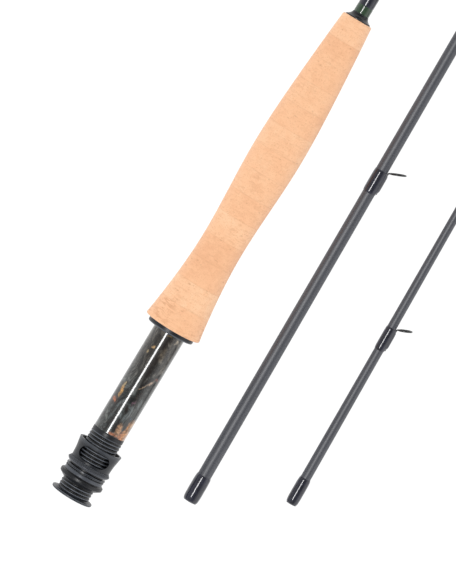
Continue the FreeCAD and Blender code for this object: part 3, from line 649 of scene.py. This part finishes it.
satin_black = ("black_anodised", anodised_black("satin_anodised_black", 0.015, 0.34))
# painted sheen: the nuts use the same anodised black painted lighter, for the brighter reflections on
# their necks and slopes
nut_black_painted_sheen = ("black_anodised", anodised_black("nut_anodised_black_painted_sheen", 0.028, 0.34, 0.08))
thread_black = ("black_anodised", anodised_black("thread_anodised_black", 0.012, 0.36, 0.12))
collar_black = ("black_anodised", anodised_black("collar_anodised_black", 0.008, 0.16, 0.03))
washer_black = ("washer_black", anodised_black("washer_black", 0.012, 0.22, 0.10))
resin = ("marbled_resin", marbled_resin())
cork = ("cork", sanded_cork())
graphite = ("graphite", bare_graphite())
wrap_varnish = ("wrap_varnish", varnished_thread(
    "varnished_dark_thread", grey(0.006, (0.85, 0.92, 1.9)), grey(0.021, (0.85, 0.92, 1.8)), 0.12))
green_thread = ("green_thread", varnished_thread(
    "varnished_green_thread", (0.006, 0.022, 0.010, 1), (0.032, 0.075, 0.034, 1), 0.30))
wire = ("guide_wire", bare_metal("dark_chromed_wire", (300, 4000, 4000),
                                 grey(0.03, (0.97, 0.98, 1.05)), grey(0.09), 0.16))
ceramic = ("ceramic", polished_ceramic())
steel = bare_metal("bright_spring_steel", (1500, 1500, 1500), grey(0.35), grey(0.55), 0.2)
board = arbor_board()


# ---- reel seat ----

def make_butt_cap():
    """Dished disc with a rounded rim and a slope up to the barrel, and the plug inside the barrel."""
    _, end, rim = span("butt_cap")
    outline = [(0.55 * MM, 0), (0.45 * MM, 5 * MM), (0.05 * MM, 8.6 * MM), (0, 9.2 * MM), (0, rim),
               (1.15 * MM, rim), (1.0 * MM, 9.6 * MM), (1.8 * MM, 8.2 * MM), (1.8 * MM, 6.95 * MM),
               (end, 6.95 * MM), (end, 0)]
    radius = np.array([0, 1.5, 0.5, 0.4, 0.42, 0.42, 0.6, 0.5, 0.2, 0.3, 0]) * MM
    turned_piece("cap_disc", rounded(outline, radius, 5, closed=False), butt, "butt_cap",
                 satin_black, closed=False)


def make_barrel():
    """Barrel with a right-handed thread.

    Its radius is R - d (1 - c^0.9), where c = (1 + cos 2 pi p) / 2 and p = x / pitch - a / 2 pi,
    and the depth d dies away into a plain collar at its upper end.  The crests are painted lighter, a
    painted highlight, and the roots darker, painted shade.
    """
    start, end, _ = span("threaded_barrel")
    x = np.linspace(start, end, 310)[:, None]
    angle = once_round(AROUND_BARREL)
    crest = (0.5 + 0.5 * np.cos(2 * np.pi * (x / THREAD_PITCH - angle / (2 * np.pi)))) ** 0.9
    on_thread = 1 - ease(x, end - 2.5 * MM, end - 1.6 * MM)
    depth = 0.38 * MM * on_thread
    edge = 0.22 * MM * (ease(x, end - 0.35 * MM, end) + 1 - ease(x, start, start + 0.2 * MM))
    collar = 0.12 * MM * ease(x, end - 2.4 * MM, end - 1.9 * MM)
    outside = on_axis(x, BARREL_RADIUS - depth * (1 - crest) - edge - collar, angle)
    bore = on_axis(np.array([[end], [start]]), ARBOR_BORE, angle)
    # painted light on the thread: crests marked lighter as painted highlight, roots marked near black
    # as painted shade
    wear_and_painted_light = np.concatenate([on_thread * (1.7 * ease(crest, 0.45, 1.0) - 0.8),
                           np.zeros((2, AROUND_BARREL))])
    make_piece("barrel_thread", [(np.concatenate([outside, bore]), True, True, {"edge": wear_and_painted_light})],
               butt, "threaded_barrel", thread_black)


def make_jam_nut_and_washer():
    """Lower nut with a chamfer, a flange and a waisted neck, and the thin washer above it."""
    start, end, flange = span("jam_nut")
    outline = [(start, NUT_BORE), (start, 9.0 * MM), (start + 1.65 * MM, flange),
               (start + 3.2 * MM, flange), (start + 3.75 * MM, 10.35 * MM),
               (start + 4.3 * MM, 10.12 * MM), (end - 0.75 * MM, 10.2 * MM),
               (end - 0.45 * MM, 10.36 * MM), (end - 0.4 * MM, 9.75 * MM), (end, 9.7 * MM),
               (end, NUT_BORE)]
    radius = np.array([0.1, 0.25, 0.3, 0.35, 0.5, 0.5, 0.3, 0.12, 0.1, 0.1, 0.1]) * MM
    flange_end = start + 3.1 * MM
    # painted light along the lower nut: the chamfer and flange darker and the step above the flange
    # near black, as painted shade; the neck lighter, as painted highlight; the groove at its top near
    # black, as painted shade
    painted_light_stretches = ((start, flange_end, -0.55), (flange_end, start + 3.9 * MM, -0.9),
              (start + 3.95 * MM, end - 0.8 * MM, 0.62), (end - 0.47 * MM, end, -1))
    turned_piece("lower_nut", rounded(outline, radius), jam_screw, "jam_nut", nut_black_painted_sheen,
                 painted_light_stretches=painted_light_stretches)
    start, end, rim = span("jam_washer")
    outline = [(start, NUT_BORE), (start, rim), (end, rim), (end, NUT_BORE)]
    turned_piece("thin_washer", rounded(outline, 0.28 * MM, 6), jam_slider, "jam_washer",
                 washer_black)


def make_tightening_nut():
    """Bead-shaped nut; its upper slope has a fine diamond knurl.

    The knurl lowers the radius by d |sin(n a + q x)| |sin(n a - q x)| on that slope only.
    """
    start, end, bead = span("tightening_nut")
    top = start + 3.5 * MM
    outline = rounded([(start, NUT_BORE), (start, 9.0 * MM), (start + 0.95 * MM, 9.05 * MM),
                       (start + 1.0 * MM, 10.65 * MM), (start + 1.9 * MM, bead),
                       (start + 2.2 * MM, bead), (top, 10.3 * MM), (top, 9.32 * MM),
                       (end, 9.32 * MM), (end, NUT_BORE)],
                      np.array([0.1, 0.1, 0.1, 0.2, 0.3, 0.3, 0.2, 0.1, 0.1, 0.1]) * MM)
    outline = denser(outline, 0.2 * MM)
    edge = corners_of(outline)[:, None]
    on_foot = outline[:, 0] < start + 1.75 * MM
    # painted highlight on the bead's lower slope, and painted shade in the gap under the nut
    edge[on_foot & (outline[:, 1] > 10.5 * MM)] = 0.5
    edge[outline[:, 0] < start + 0.97 * MM] = -1
    x, radius = outline.T[:, :, None]
    angle = once_round(432)
    on_slope = ease(x, start + 2.1 * MM, start + 2.4 * MM) * ease(radius, 10.2 * MM, 10.5 * MM)
    knurl_depth, knurls_round, knurl_slant = 0.20 * MM, 27, 4800
    one_way, other_way = (np.sin(knurls_round * angle + way * knurl_slant * (x - start))
                          for way in (1, -1))
    knurl = np.abs(one_way * other_way)
    # painted light on the knurl: tops lighter as painted highlight, hollows darker as painted shade
    edge = edge + on_slope * ((1 - knurl) ** 4 - 0.9 * knurl)
    surface = on_axis(x, radius - knurl_depth * on_slope * knurl, angle)
    make_piece("upper_nut", [(surface, True, True, {"edge": edge})], hood_nut, "tightening_nut",
               nut_black_painted_sheen)


def make_sliding_hood():
    """Flared hood with a window on each side.

    Each half is a grid round its window, in (angle, x): t from the window's edge, a stadium cut
    straight through, to the half's own border.  The angle of a point beside the axis at y on a
    wall of radius R is asin(y / R).  Both walls are such grids; strips close the window's edge
    and the two ends.
    """
    start, end, mouth = span("sliding_hood")
    length = end - start
    bore = 9.4 * MM
    window_x, half_long, half_across = 4.6 * MM, 3.5 * MM, 7.9 * MM

    def outer(x):
        return np.interp(x, (0, 2.2 * MM, 4.4 * MM, 6.2 * MM, length),
                         (10.2 * MM, 10.28 * MM, 10.44 * MM, 10.74 * MM, mouth))

    def inner(x):
        return bore + (mouth - 1.2 * MM - bore) * ease(x, 4.6 * MM, length * 1.05)

    sides, ends = 33, 15
    side_x = np.linspace(0, length, ends)
    end_angle = np.linspace(-np.pi / 2, np.pi / 2, sides)
    border_angle = np.concatenate([end_angle[:-1], np.full(ends - 1, np.pi / 2),
                                   end_angle[:0:-1], np.full(ends - 1, -np.pi / 2)])
    border_x = np.concatenate([np.zeros(sides - 1), side_x[:-1], np.full(sides - 1, length),
                               side_x[:0:-1]])
    turn = np.arctan2((border_x - window_x) / (0.62 * length), border_angle / (np.pi / 2))
    straight = half_across - half_long
    reach = np.abs(np.tan(np.clip(turn % np.pi - np.pi / 2, -1.55, 1.55)))
    side_y = reach * half_long
    flat = side_y < straight
    bend = np.arctan2(np.abs(np.sin(turn)), np.abs(np.cos(turn)))
    round_angle = bend / np.arctan2(half_long, straight) * (np.pi / 2)
    edge_y = np.sign(np.cos(turn)) * np.where(flat, side_y,
                                              straight + half_long * np.cos(round_angle))
    edge_x = window_x + np.sign(np.sin(turn)) * half_long * np.where(flat, 1, np.sin(round_angle))
    t = ease(np.linspace(0, 1, 18), -0.15, 1.15)
    t = ((t - t[0]) / (t[-1] - t[0]))[:, None]

    grids = []
    for up in (1, -1):
        walls = []
        for wall in (outer, inner):
            edge_angle = np.arcsin(np.clip(edge_y / wall(edge_x), -1, 1))
            x = edge_x * (1 - t) + border_x * t
            angle = edge_angle * (1 - t) + border_angle * t
            radius = wall(x)
            points = np.stack([start + x, radius * np.sin(angle), up * radius * np.cos(angle)], -1)
            walls.append(points)
            # painted light: the outer wall lighter towards the mouth, a painted highlight; the inner
            # wall darker, painted shade
            bright = 0.5 * ease(x, 6.2 * MM, length) if wall is outer else -0.6
            grids.append((points, False, True, {"edge": bright}))
        # painted shade along the window's edge
        grids.append((np.stack([walls[0][0], walls[1][0]]), False, True, {"edge": -0.3}))
        # painted highlight on the two end rims
        for first, bright in ((0, 0.6), (sides + ends - 2, 0.2)):
            rim = np.stack([wall[-1][first:first + sides] for wall in walls])
            grids.append((rim, False, False, {"edge": bright}))
    piece = make_piece("windowed_hood", grids, hood, "sliding_hood", satin_black, weld=True)
    bevel = piece.modifiers.new("worn_edges", "BEVEL")
    bevel.limit_method = "ANGLE"
    bevel.angle_limit = math.radians(40)
    bevel.width = 0.2 * MM
    bevel.segments = 3
    bevel.harden_normals = True


def make_insert_and_lip():
    """Marbled sleeve, and the fixed hood whose rounded lip shows below the cork."""
    start, end, radius = span("reel_seat_insert")
    outline = [(start, 6 * MM), (start, radius), (end, radius), (end, 6 * MM)]
    turned_piece("marbled_sleeve", rounded(outline, 0.12 * MM), butt, "reel_seat_insert", resin)
    start, end, lip = span("fixed_hood")
    blank = 4.05 * MM
    lip_end, floor_start = start + 2.4 * MM, end - 2.2 * MM
    outline = [(start, 10.4 * MM), (start, lip), (lip_end, lip), (lip_end, 11.4 * MM),
               (end, 11.4 * MM), (end, blank), (floor_start, blank), (floor_start, 10.4 * MM)]
    radius = np.array([0.3, 0.7, 0.3, 0.2, 0.2, 0.1, 0.1, 0.3]) * MM
    turned_piece("hood_lip", rounded(outline, radius, 6), butt, "fixed_hood", satin_black)


# ---- cork grip ----

def grip_radius(place):
    """Outline of the grip: a clamped cubic spline through its stations.

    Between two stations the radius is a cubic whose slopes come from the condition that the
    curvature doesn't jump, with a chosen slope at each end.
    """
    x = np.array([0.8, 16, 44, 94, 135, 170.7]) * MM
    y = np.array([14.55, 12.5, 10.55, 12.24, 10.65, 7.75]) * MM
    first_slope, last_slope = -0.165, -0.095
    gap = np.diff(x)
    rise = np.diff(y) / gap
    matrix = np.eye(len(x))
    known = np.empty(len(x))
    inner = np.arange(1, len(x) - 1)
    matrix[inner, inner - 1] = gap[1:]
    matrix[inner, inner] = 2 * (gap[:-1] + gap[1:])
    matrix[inner, inner + 1] = gap[:-1]
    known[inner] = 3 * (gap[1:] * rise[:-1] + gap[:-1] * rise[1:])
    known[0], known[-1] = first_slope, last_slope
    slope = np.linalg.solve(matrix, known)
    index = np.clip(np.searchsorted(x, place) - 1, 0, len(gap) - 1)
    t = (place - x[index]) / gap[index]
    return ((1 + 2 * t) * (1 - t) ** 2 * y[index] + t * (1 - t) ** 2 * gap[index] * slope[index]
            + t ** 2 * (3 - 2 * t) * y[index + 1] - t ** 2 * (1 - t) * gap[index] * slope[index + 1])


def make_cork_rings():
    """Fourteen rings of cork.

    A ring's radius is the grip's outline, less a rounding at its two ends, less its pits: each
    pit is a small hollow d exp(-(u^2 + v^2)) at a place of its own, longer round the grip.
    """
    lower, _, _ = span("cork_ring_01")
    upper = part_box("cork_ring_14")[1].x
    for number in range(1, 15):
        chance = np.random.default_rng(40 + number)
        node = f"cork_ring_{number:02d}"
        start, end, _ = span(node)
        edge = np.array([0, 0.004, 0.010, 0.018, 0.03])
        share = np.concatenate([edge, np.linspace(0, 1, 46)[2:-2], 1 - edge[::-1]])[:, None]
        x = start + share * (end - start)
        angle = once_round(AROUND_CORK)
        radius = grip_radius(np.clip(x - lower, CORK_EDGE, upper - lower - CORK_EDGE))
        for near_end in (x - lower, upper - x):
            bend = np.clip(1 - near_end / CORK_EDGE, 0, 1)
            radius = radius - CORK_EDGE * (1 - np.sqrt(1 - bend ** 2))
        seam = np.exp(-(np.minimum(share, 1 - share) * (end - start) / (0.22 * MM)) ** 2)
        seam = seam * ((np.abs(x - lower) > 0.6 * MM) & (np.abs(upper - x) > 0.6 * MM))
        pits = (int(chance.integers(26, 44)), 1, 1)
        pit_x = chance.uniform(start, end, pits)
        pit_angle = chance.uniform(0, 2 * np.pi, pits)
        pit_long = chance.uniform(0.3, 1.0, pits) ** 1.5 * MM
        pit_wide = chance.uniform(0.2, 0.38, pits) * MM
        pit_deep = chance.uniform(0.3, 1.0, pits) ** 1.5
        turn = (angle - pit_angle + np.pi) % (2 * np.pi) - np.pi
        hollow = pit_deep * np.exp(-(turn * radius / pit_long) ** 2 - ((x - pit_x) / pit_wide) ** 2)
        pit = hollow.max(0)
        surface = on_axis(x, radius - 0.16 * MM * pit - 0.025 * MM * seam, angle)
        bore = 11.4 * MM if number == 1 else butt.radius(np.array([[end], [start]]))
        inside = on_axis(np.array([[end], [start]]), bore, angle)
        size = (len(x) + 2, AROUND_CORK)
        marks = {"pit": np.zeros(size), "seam": np.zeros(size),
                 "tone": np.full(size, chance.uniform(-0.14, 0.14)),
                 "lined": np.full(size, chance.uniform(0, 1) ** 2)}
        marks["pit"][:-2] = np.clip(pit * 1.1 - 0.12, 0, 0.8)
        marks["seam"][:-2] = seam
        make_piece(f"cork_{number:02d}", [(np.concatenate([surface, inside]), True, True, marks)],
                   butt, node, cork)


# ---- blanks and the pieces on them ----

def blank_outline(section, lower, spigot, upper, bores):
    """Closed outline of a blank: its taper, the step to its spigot if any, and its bores back."""
    x = np.linspace(lower, spigot if spigot else upper, 90)
    wall = [np.stack([x, section.radius(x)], -1)]
    if spigot:
        above = section.radius(spigot)
        wall.append(np.array([(spigot, above - 0.14 * MM), (upper - 0.3 * MM, above - 0.14 * MM),
                              (upper, above - 0.35 * MM)]))
    wall.append(np.array(bores) * MM)
    return np.concatenate(wall)


def make_blanks():
    """The three graphite tubes; the middle and tip ones open into a socket at their lower end."""
    start, end, _ = span("butt_blank")
    bores = [(end / MM, 2.0), (695, 2.0), (start / MM, 3.5)]
    turned_piece("butt_tube", blank_outline(butt, start, SPIGOT_START, end, bores), butt,
                 "butt_blank", graphite, 48)
    for name, node, section, spigot, bores in (
            ("middle_tube", "mid_blank", middle, SPIGOT_START,
             [(745, 1.3), (695, 1.3), (52, 2.7), (52, 2.8), (0.25, 2.8), (0, 2.95)]),
            ("tip_tube", "tip_blank", tip, None,
             [(745, 0.4), (165, 1.5), (52, 1.84), (52, 2.0), (0.25, 2.0), (0, 2.12)])):
        outline = blank_outline(section, 0.3 * MM, spigot, SECTION_LENGTH, bores)
        outline = np.concatenate([np.array([(0, section.radius(0) - 0.12 * MM)]), outline])
        turned_piece(name, outline, section, node, graphite, 48)


def crown(t, fullness=4):
    """Height of a wrap under its varnish along its length: (1 - |2 t - 1|^n)^0.5."""
    return np.sqrt(np.clip(1 - np.abs(2 * t - 1) ** fullness, 0, 1))


def thread_wrap(name, section, start, length, height, node, finish, rows, around):
    """A wrap of thread on a blank: blank radius + height(t, x, a).

    t is 0 to 1 along the wrap and crowds towards both ends: (1 - cos pi s) / 2.
    """
    t = (0.5 - 0.5 * np.cos(np.pi * np.linspace(0, 1, rows)))[:, None]
    x, angle = start + t * length, once_round(around)
    outside = on_axis(x, section.radius(x) + height(t, x, angle), angle)
    ends = np.array([[start + length], [start]])
    inside = on_axis(ends, section.radius(ends) - 0.05 * MM, angle)
    make_piece(name, [(np.concatenate([outside, inside]), True, True, {})], section, node, finish)


def plain_wrap(name, section, start, length, height, node, finish=wrap_varnish, fullness=4):
    """A wrap h crown(t) high, with the varnish a little uneven round it."""
    def uneven_crown(t, x, angle):
        uneven = 1 + 0.05 * np.sin(angle + 0.8 * x / MM) * np.sin(3 * np.pi * t)
        return height * crown(t, fullness) * uneven

    thread_wrap(name, section, start, length, uneven_crown, node, finish, 48, 64)


def foot_wrap(name, section, start, length, foot_from, foot_to, node):
    """A wrap over a guide's foot.

    It is h crown(t) high, and on the foot's side, -y, it rises by a further b exp(-(turn / w)^2),
    strongest over the foot and running out with it towards the guide.
    """
    def crown_over_foot(t, x, angle):
        turn = angle - np.pi
        over_foot = ease(x, foot_from - 0.6 * MM, foot_from + 2.0 * MM) * (
            1 - 0.45 * ease(x, foot_to - 2.0 * MM, foot_to))
        rise = 0.56 * MM * over_foot * np.exp(-(turn / 0.34) ** 2)
        fillet = 0.16 * MM * over_foot * np.exp(-(turn / 0.75) ** 2)
        return (WRAP_HEIGHT + rise + fillet) * crown(t, 5)

    thread_wrap(name, section, start, length, crown_over_foot, node, wrap_varnish, 60, 96)


def make_check_and_butt_wraps():
    """Concave collar on top of the cork, the green band and the dark wrap above it."""
    start, end, foot = span("winding_check")
    bore, flare_start, flare_end_radius = 3.75 * MM, start + 0.5 * MM, 4.2 * MM
    t = np.linspace(0, 1, 14)
    flare = np.stack([flare_start + (end - flare_start) * t,
                      flare_end_radius + (foot - flare_end_radius) * (1 - t) ** 2.3], -1)
    below = [(start, bore), (start, foot - 0.15 * MM), (start + 0.12 * MM, foot),
             (start + 0.36 * MM, foot)]
    outline = np.concatenate([below, flare, [(end, 4.1 * MM), (end, bore)]])
    turned_piece("flared_collar", outline, butt, "winding_check", collar_black, 96)
    start, end, _ = span("trim_band")
    plain_wrap("green_band", butt, start, end - start + 0.3 * MM, 0.27 * MM, "trim_band",
               green_thread, 16)
    start, end, _ = span("butt_wrap")
    plain_wrap("dark_butt_wrap", butt, start, end - start, 0.30 * MM, "butt_wrap", fullness=8)


def line_guide(name, section, foot_end, loop_radius, node):
    """A single-foot guide bent from one wire: foot, neck, and a leaning loop back to its neck.

    The loop is c + r (-cos u outward + sin u z), and the neck joins it in the curve
    (1-t)^2 A + 2 t (1-t) P + t^2 B.
    """
    foot_line = -section.radius(foot_end) - WRAP_HEIGHT
    knee = np.array([foot_end + GUIDE_FOOT, foot_line, 0])
    base = knee + 0.8 * MM * GUIDE_OUTWARD
    centre = base + loop_radius * GUIDE_OUTWARD
    turn = np.linspace(math.radians(38), math.radians(352), 56)[:, None]
    loop = centre + loop_radius * (-np.cos(turn) * GUIDE_OUTWARD
                                   + np.sin(turn) * np.array([0, 0, 1]))
    start = np.array([foot_end, foot_line, 0])
    neck = bent_path([start, knee, base + 0.15 * MM * GUIDE_OUTWARD], 0.55 * MM)[:-1]
    t = np.linspace(0, 1, 9)[1:-1, None]
    join = (1 - t) ** 2 * neck[-1] + 2 * t * (1 - t) * base + t ** 2 * loop[0]
    path = np.concatenate([np.linspace(neck[0], neck[1], 6)[:-1], neck[1:], join, loop])
    reached = np.linspace(0, 1, len(path))
    radius = np.interp(reached, (0, 0.1, 0.2, 1), (0.30, 0.38, 0.42, 0.45)) * MM
    make_piece(name, [(tube_along(path, radius, GUIDE_ACROSS), False, True, {})], section, node,
               wire)


def make_loose_section(prefix, label, section, guide_count, loop_radius):
    """The socket's wrap, and each guide with its wrap, of one loose section."""
    plain_wrap(f"{label}_socket_wrap", section, 0.4 * MM, 14 * MM, 0.55 * MM,
               f"{prefix}_ferrule_wrap")
    for number in range(1, guide_count + 1):
        node = f"{prefix}_guide_{number}_wrap"
        centre = middle_of(node, section.place)
        start = centre - (GUIDE_FOOT + WRAP_BEFORE_FOOT - WRAP_HEIGHT) / 2
        foot_end = start + WRAP_BEFORE_FOOT
        foot_wrap(f"{label}_wrap_{number}", section, start, GUIDE_WRAP, foot_end,
                  start + GUIDE_WRAP, node)
        line_guide(f"{label}_guide_wire_{number}", section, foot_end, loop_radius,
                   f"{prefix}_guide_{number}")


def torus(centre, axis, radius, outline_x, outline_r, around=72):
    """A ring about an axis: an outline of (along the axis, past the radius) turned round it."""
    axis = np.array(axis, float)
    first = np.array([0, 0, 1.0])
    second = np.cross(axis, first)
    angle = once_round(around)[..., None]
    out = np.cos(angle) * first + np.sin(angle) * second
    return (np.array(centre) + outline_x[:, None, None] * axis
            + (radius + outline_r)[:, None, None] * out)


def round_outline(radius, steps=16):
    """A circle's outline for a ring."""
    angle = once_round(steps)[0]
    return radius * np.cos(angle), radius * np.sin(angle)


def make_stripping_guide():
    """Frame of two feet and a ring, its ceramic liner, and the wraps over its feet."""
    low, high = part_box("stripping_guide_frame")
    middle_x = (low.x + high.x) / 2
    centre = np.array([middle_x, -10.2 * MM, 0])
    foot = -butt.radius(low.x) - WRAP_HEIGHT
    grids = []
    for side in (-1, 1):
        path = bent_path([(middle_x + side * 18 * MM, foot, 0), (middle_x + side * 7 * MM, foot, 0),
                          (middle_x + side * 0.2 * MM, -5.4 * MM, 0)], 2.0 * MM)
        path = np.concatenate([np.linspace(path[0], path[1], 8)[:-1], path[1:-1],
                               np.linspace(path[-2], path[-1], 6)[1:]])
        grids.append((tube_along(path, 0.38 * MM, (0, 0, 1)), False, True, {}))
    along = (1, 0, 0)
    ring = torus(centre, along, 4.7 * MM, *round_outline(0.45 * MM))
    grids.append((ring, True, True, {}))
    make_piece("strip_frame", grids, butt, "stripping_guide_frame", wire)
    turn = once_round(40)[0]
    liner = torus(centre, along, 3.8 * MM,
                  0.8 * MM * np.sign(np.cos(turn)) * np.abs(np.cos(turn)) ** 0.6,
                  0.45 * MM * np.sign(np.sin(turn)) * np.abs(np.sin(turn)) ** 0.8)
    make_piece("strip_liner", [(liner, True, True, {})], butt, "stripping_guide_liner", ceramic)
    foot_wrap("strip_rear_wrap", butt, low.x - WRAP_BEFORE_FOOT, 12.3 * MM, low.x,
              middle_x - 7 * MM, "stripping_guide_rear_wrap")
    foot_wrap("strip_front_wrap", butt, middle_x + 7.3 * MM, 12.3 * MM, middle_x - 4 * MM,
              middle_x + 24 * MM, "stripping_guide_front_wrap")


def make_tip_top():
    """Tube over the end of the tip, its leaning loop and the short wrap below it."""
    foot, top = SECTION_LENGTH - 10 * MM, SECTION_LENGTH + 0.8 * MM
    wall = tip.radius(foot) + 0.3 * MM
    outline = rounded([(foot, 0.8 * MM), (foot, wall), (top, wall), (top, 0)],
                      np.array([0, 0.12, 0.5, 0]) * MM, 5, closed=False)
    outline = np.concatenate([[(foot + 0.2 * MM, 0)], outline])
    loop_radius = 2.2 * MM
    centre = np.array([top, 0, 0]) + loop_radius * GUIDE_OUTWARD
    ring = torus(centre, GUIDE_ACROSS, loop_radius, *round_outline(0.45 * MM), 56)
    grids = [(round_the_axis(outline, 40), False, True, {}), (ring, True, True, {})]
    make_piece("tip_tube_and_loop", grids, tip, "tip_top", wire)
    plain_wrap("tip_top_thread", tip, SECTION_LENGTH - 15 * MM, 5.1 * MM, 0.27 * MM,
               "tip_top_wrap", fullness=6)


# ---- floor, light and camera ----

def make_floor():
    """A plain white floor, wide enough for every view, that glows so that shadows stay faint."""
    height = cad_box[0][2] - 0.05 * MM
    half = 40.0
    mesh = bpy.data.meshes.new("studio_floor")
    mesh.from_pydata([(-half, -half, height), (half, -half, height), (half, half, height),
                      (-half, half, height)], [], [(0, 1, 2, 3)])
    white = Finish("studio_white", base_color=grey(0.05), roughness=0.9,
                   emission_color=grey(1), emission_strength=1.02)
    mesh.materials.append(white.material)
    floor = bpy.data.objects.new("studio_floor", mesh)
    bpy.context.scene.collection.objects.link(floor)


def make_light():
    """A long narrow soft box above, a little to one side, in a white room with a dark ceiling.

    The room is as bright as the floor at the horizon and darkens towards straight overhead, and
    the wall across from the lamp is a little brighter.
    """
    world = bpy.data.worlds.new("white_room")
    world.use_nodes = True
    room = Nodes(world.node_tree)
    _, aside, up = room.parts(room.node("ShaderNodeTexCoord", output="Generated"))
    wall, ceiling, horizon = 1.10 - aside * 0.30, 0.10, 1.03
    level = wall - room.step(up, 0.30, 0.94) * (wall - ceiling)
    level = room.maths("MAXIMUM", level, (1 - room.step(up, 0.08, 0.30)) * horizon)
    background = room.tree.nodes["Background"].inputs
    room.feed(background["Strength"], level)
    room.feed(background["Color"], grey(1))
    bpy.context.scene.world = world
    box = bpy.data.lights.new("long_soft_box", "AREA")
    box.shape = "RECTANGLE"
    box.size, box.size_y = 0.95, 0.46
    box.energy = 29.5
    lamp = bpy.data.objects.new("long_soft_box", box)
    lamp.location = (0.0, 0.50, 2.2)
    bpy.context.scene.collection.objects.link(lamp)


def make_camera():
    """A long lens from almost straight above, turned so that the rod lies across the frame."""
    tilt, roll = math.radians(5.2), math.radians(31.063)
    distance, target = 1.912, Vector((0.12619, -0.01223, 0))
    back = Vector((math.sin(tilt), 0, math.cos(tilt)))
    ahead = Vector((math.cos(tilt), 0, -math.sin(tilt)))
    aside = Vector((0, -1, 0))
    right = aside * math.cos(roll) + ahead * math.sin(roll)
    up = ahead * math.cos(roll) - aside * math.sin(roll)
    lens = bpy.data.cameras.new("studio_camera")
    lens.sensor_width = 36
    lens.lens = 252.63158
    lens.clip_end = 100
    camera = bpy.data.objects.new("studio_camera", lens)
    place = Matrix((right, up, back)).transposed().to_4x4()
    place.translation = target + back * distance
    camera.matrix_world = place
    bpy.context.scene.collection.objects.link(camera)
    bpy.context.scene.camera = camera
    bpy.context.scene.view_settings.view_transform = "Standard"


make_butt_cap()
make_barrel()
make_jam_nut_and_washer()
make_tightening_nut()
make_sliding_hood()
make_insert_and_lip()
make_cork_rings()
make_blanks()
make_check_and_butt_wraps()
make_stripping_guide()
make_loose_section("mid", "middle", middle, 4, 3.8 * MM)
make_loose_section("tip", "tip", tip, 5, 3.2 * MM)
make_tip_top()
for node, finish in (("snap_ring", steel), ("barrel_arbor", board), ("insert_arbor", board)):
    for material_slot in frame["nodes"][node].material_slots:
        material_slot.material = finish
make_floor()
make_light()
make_camera()
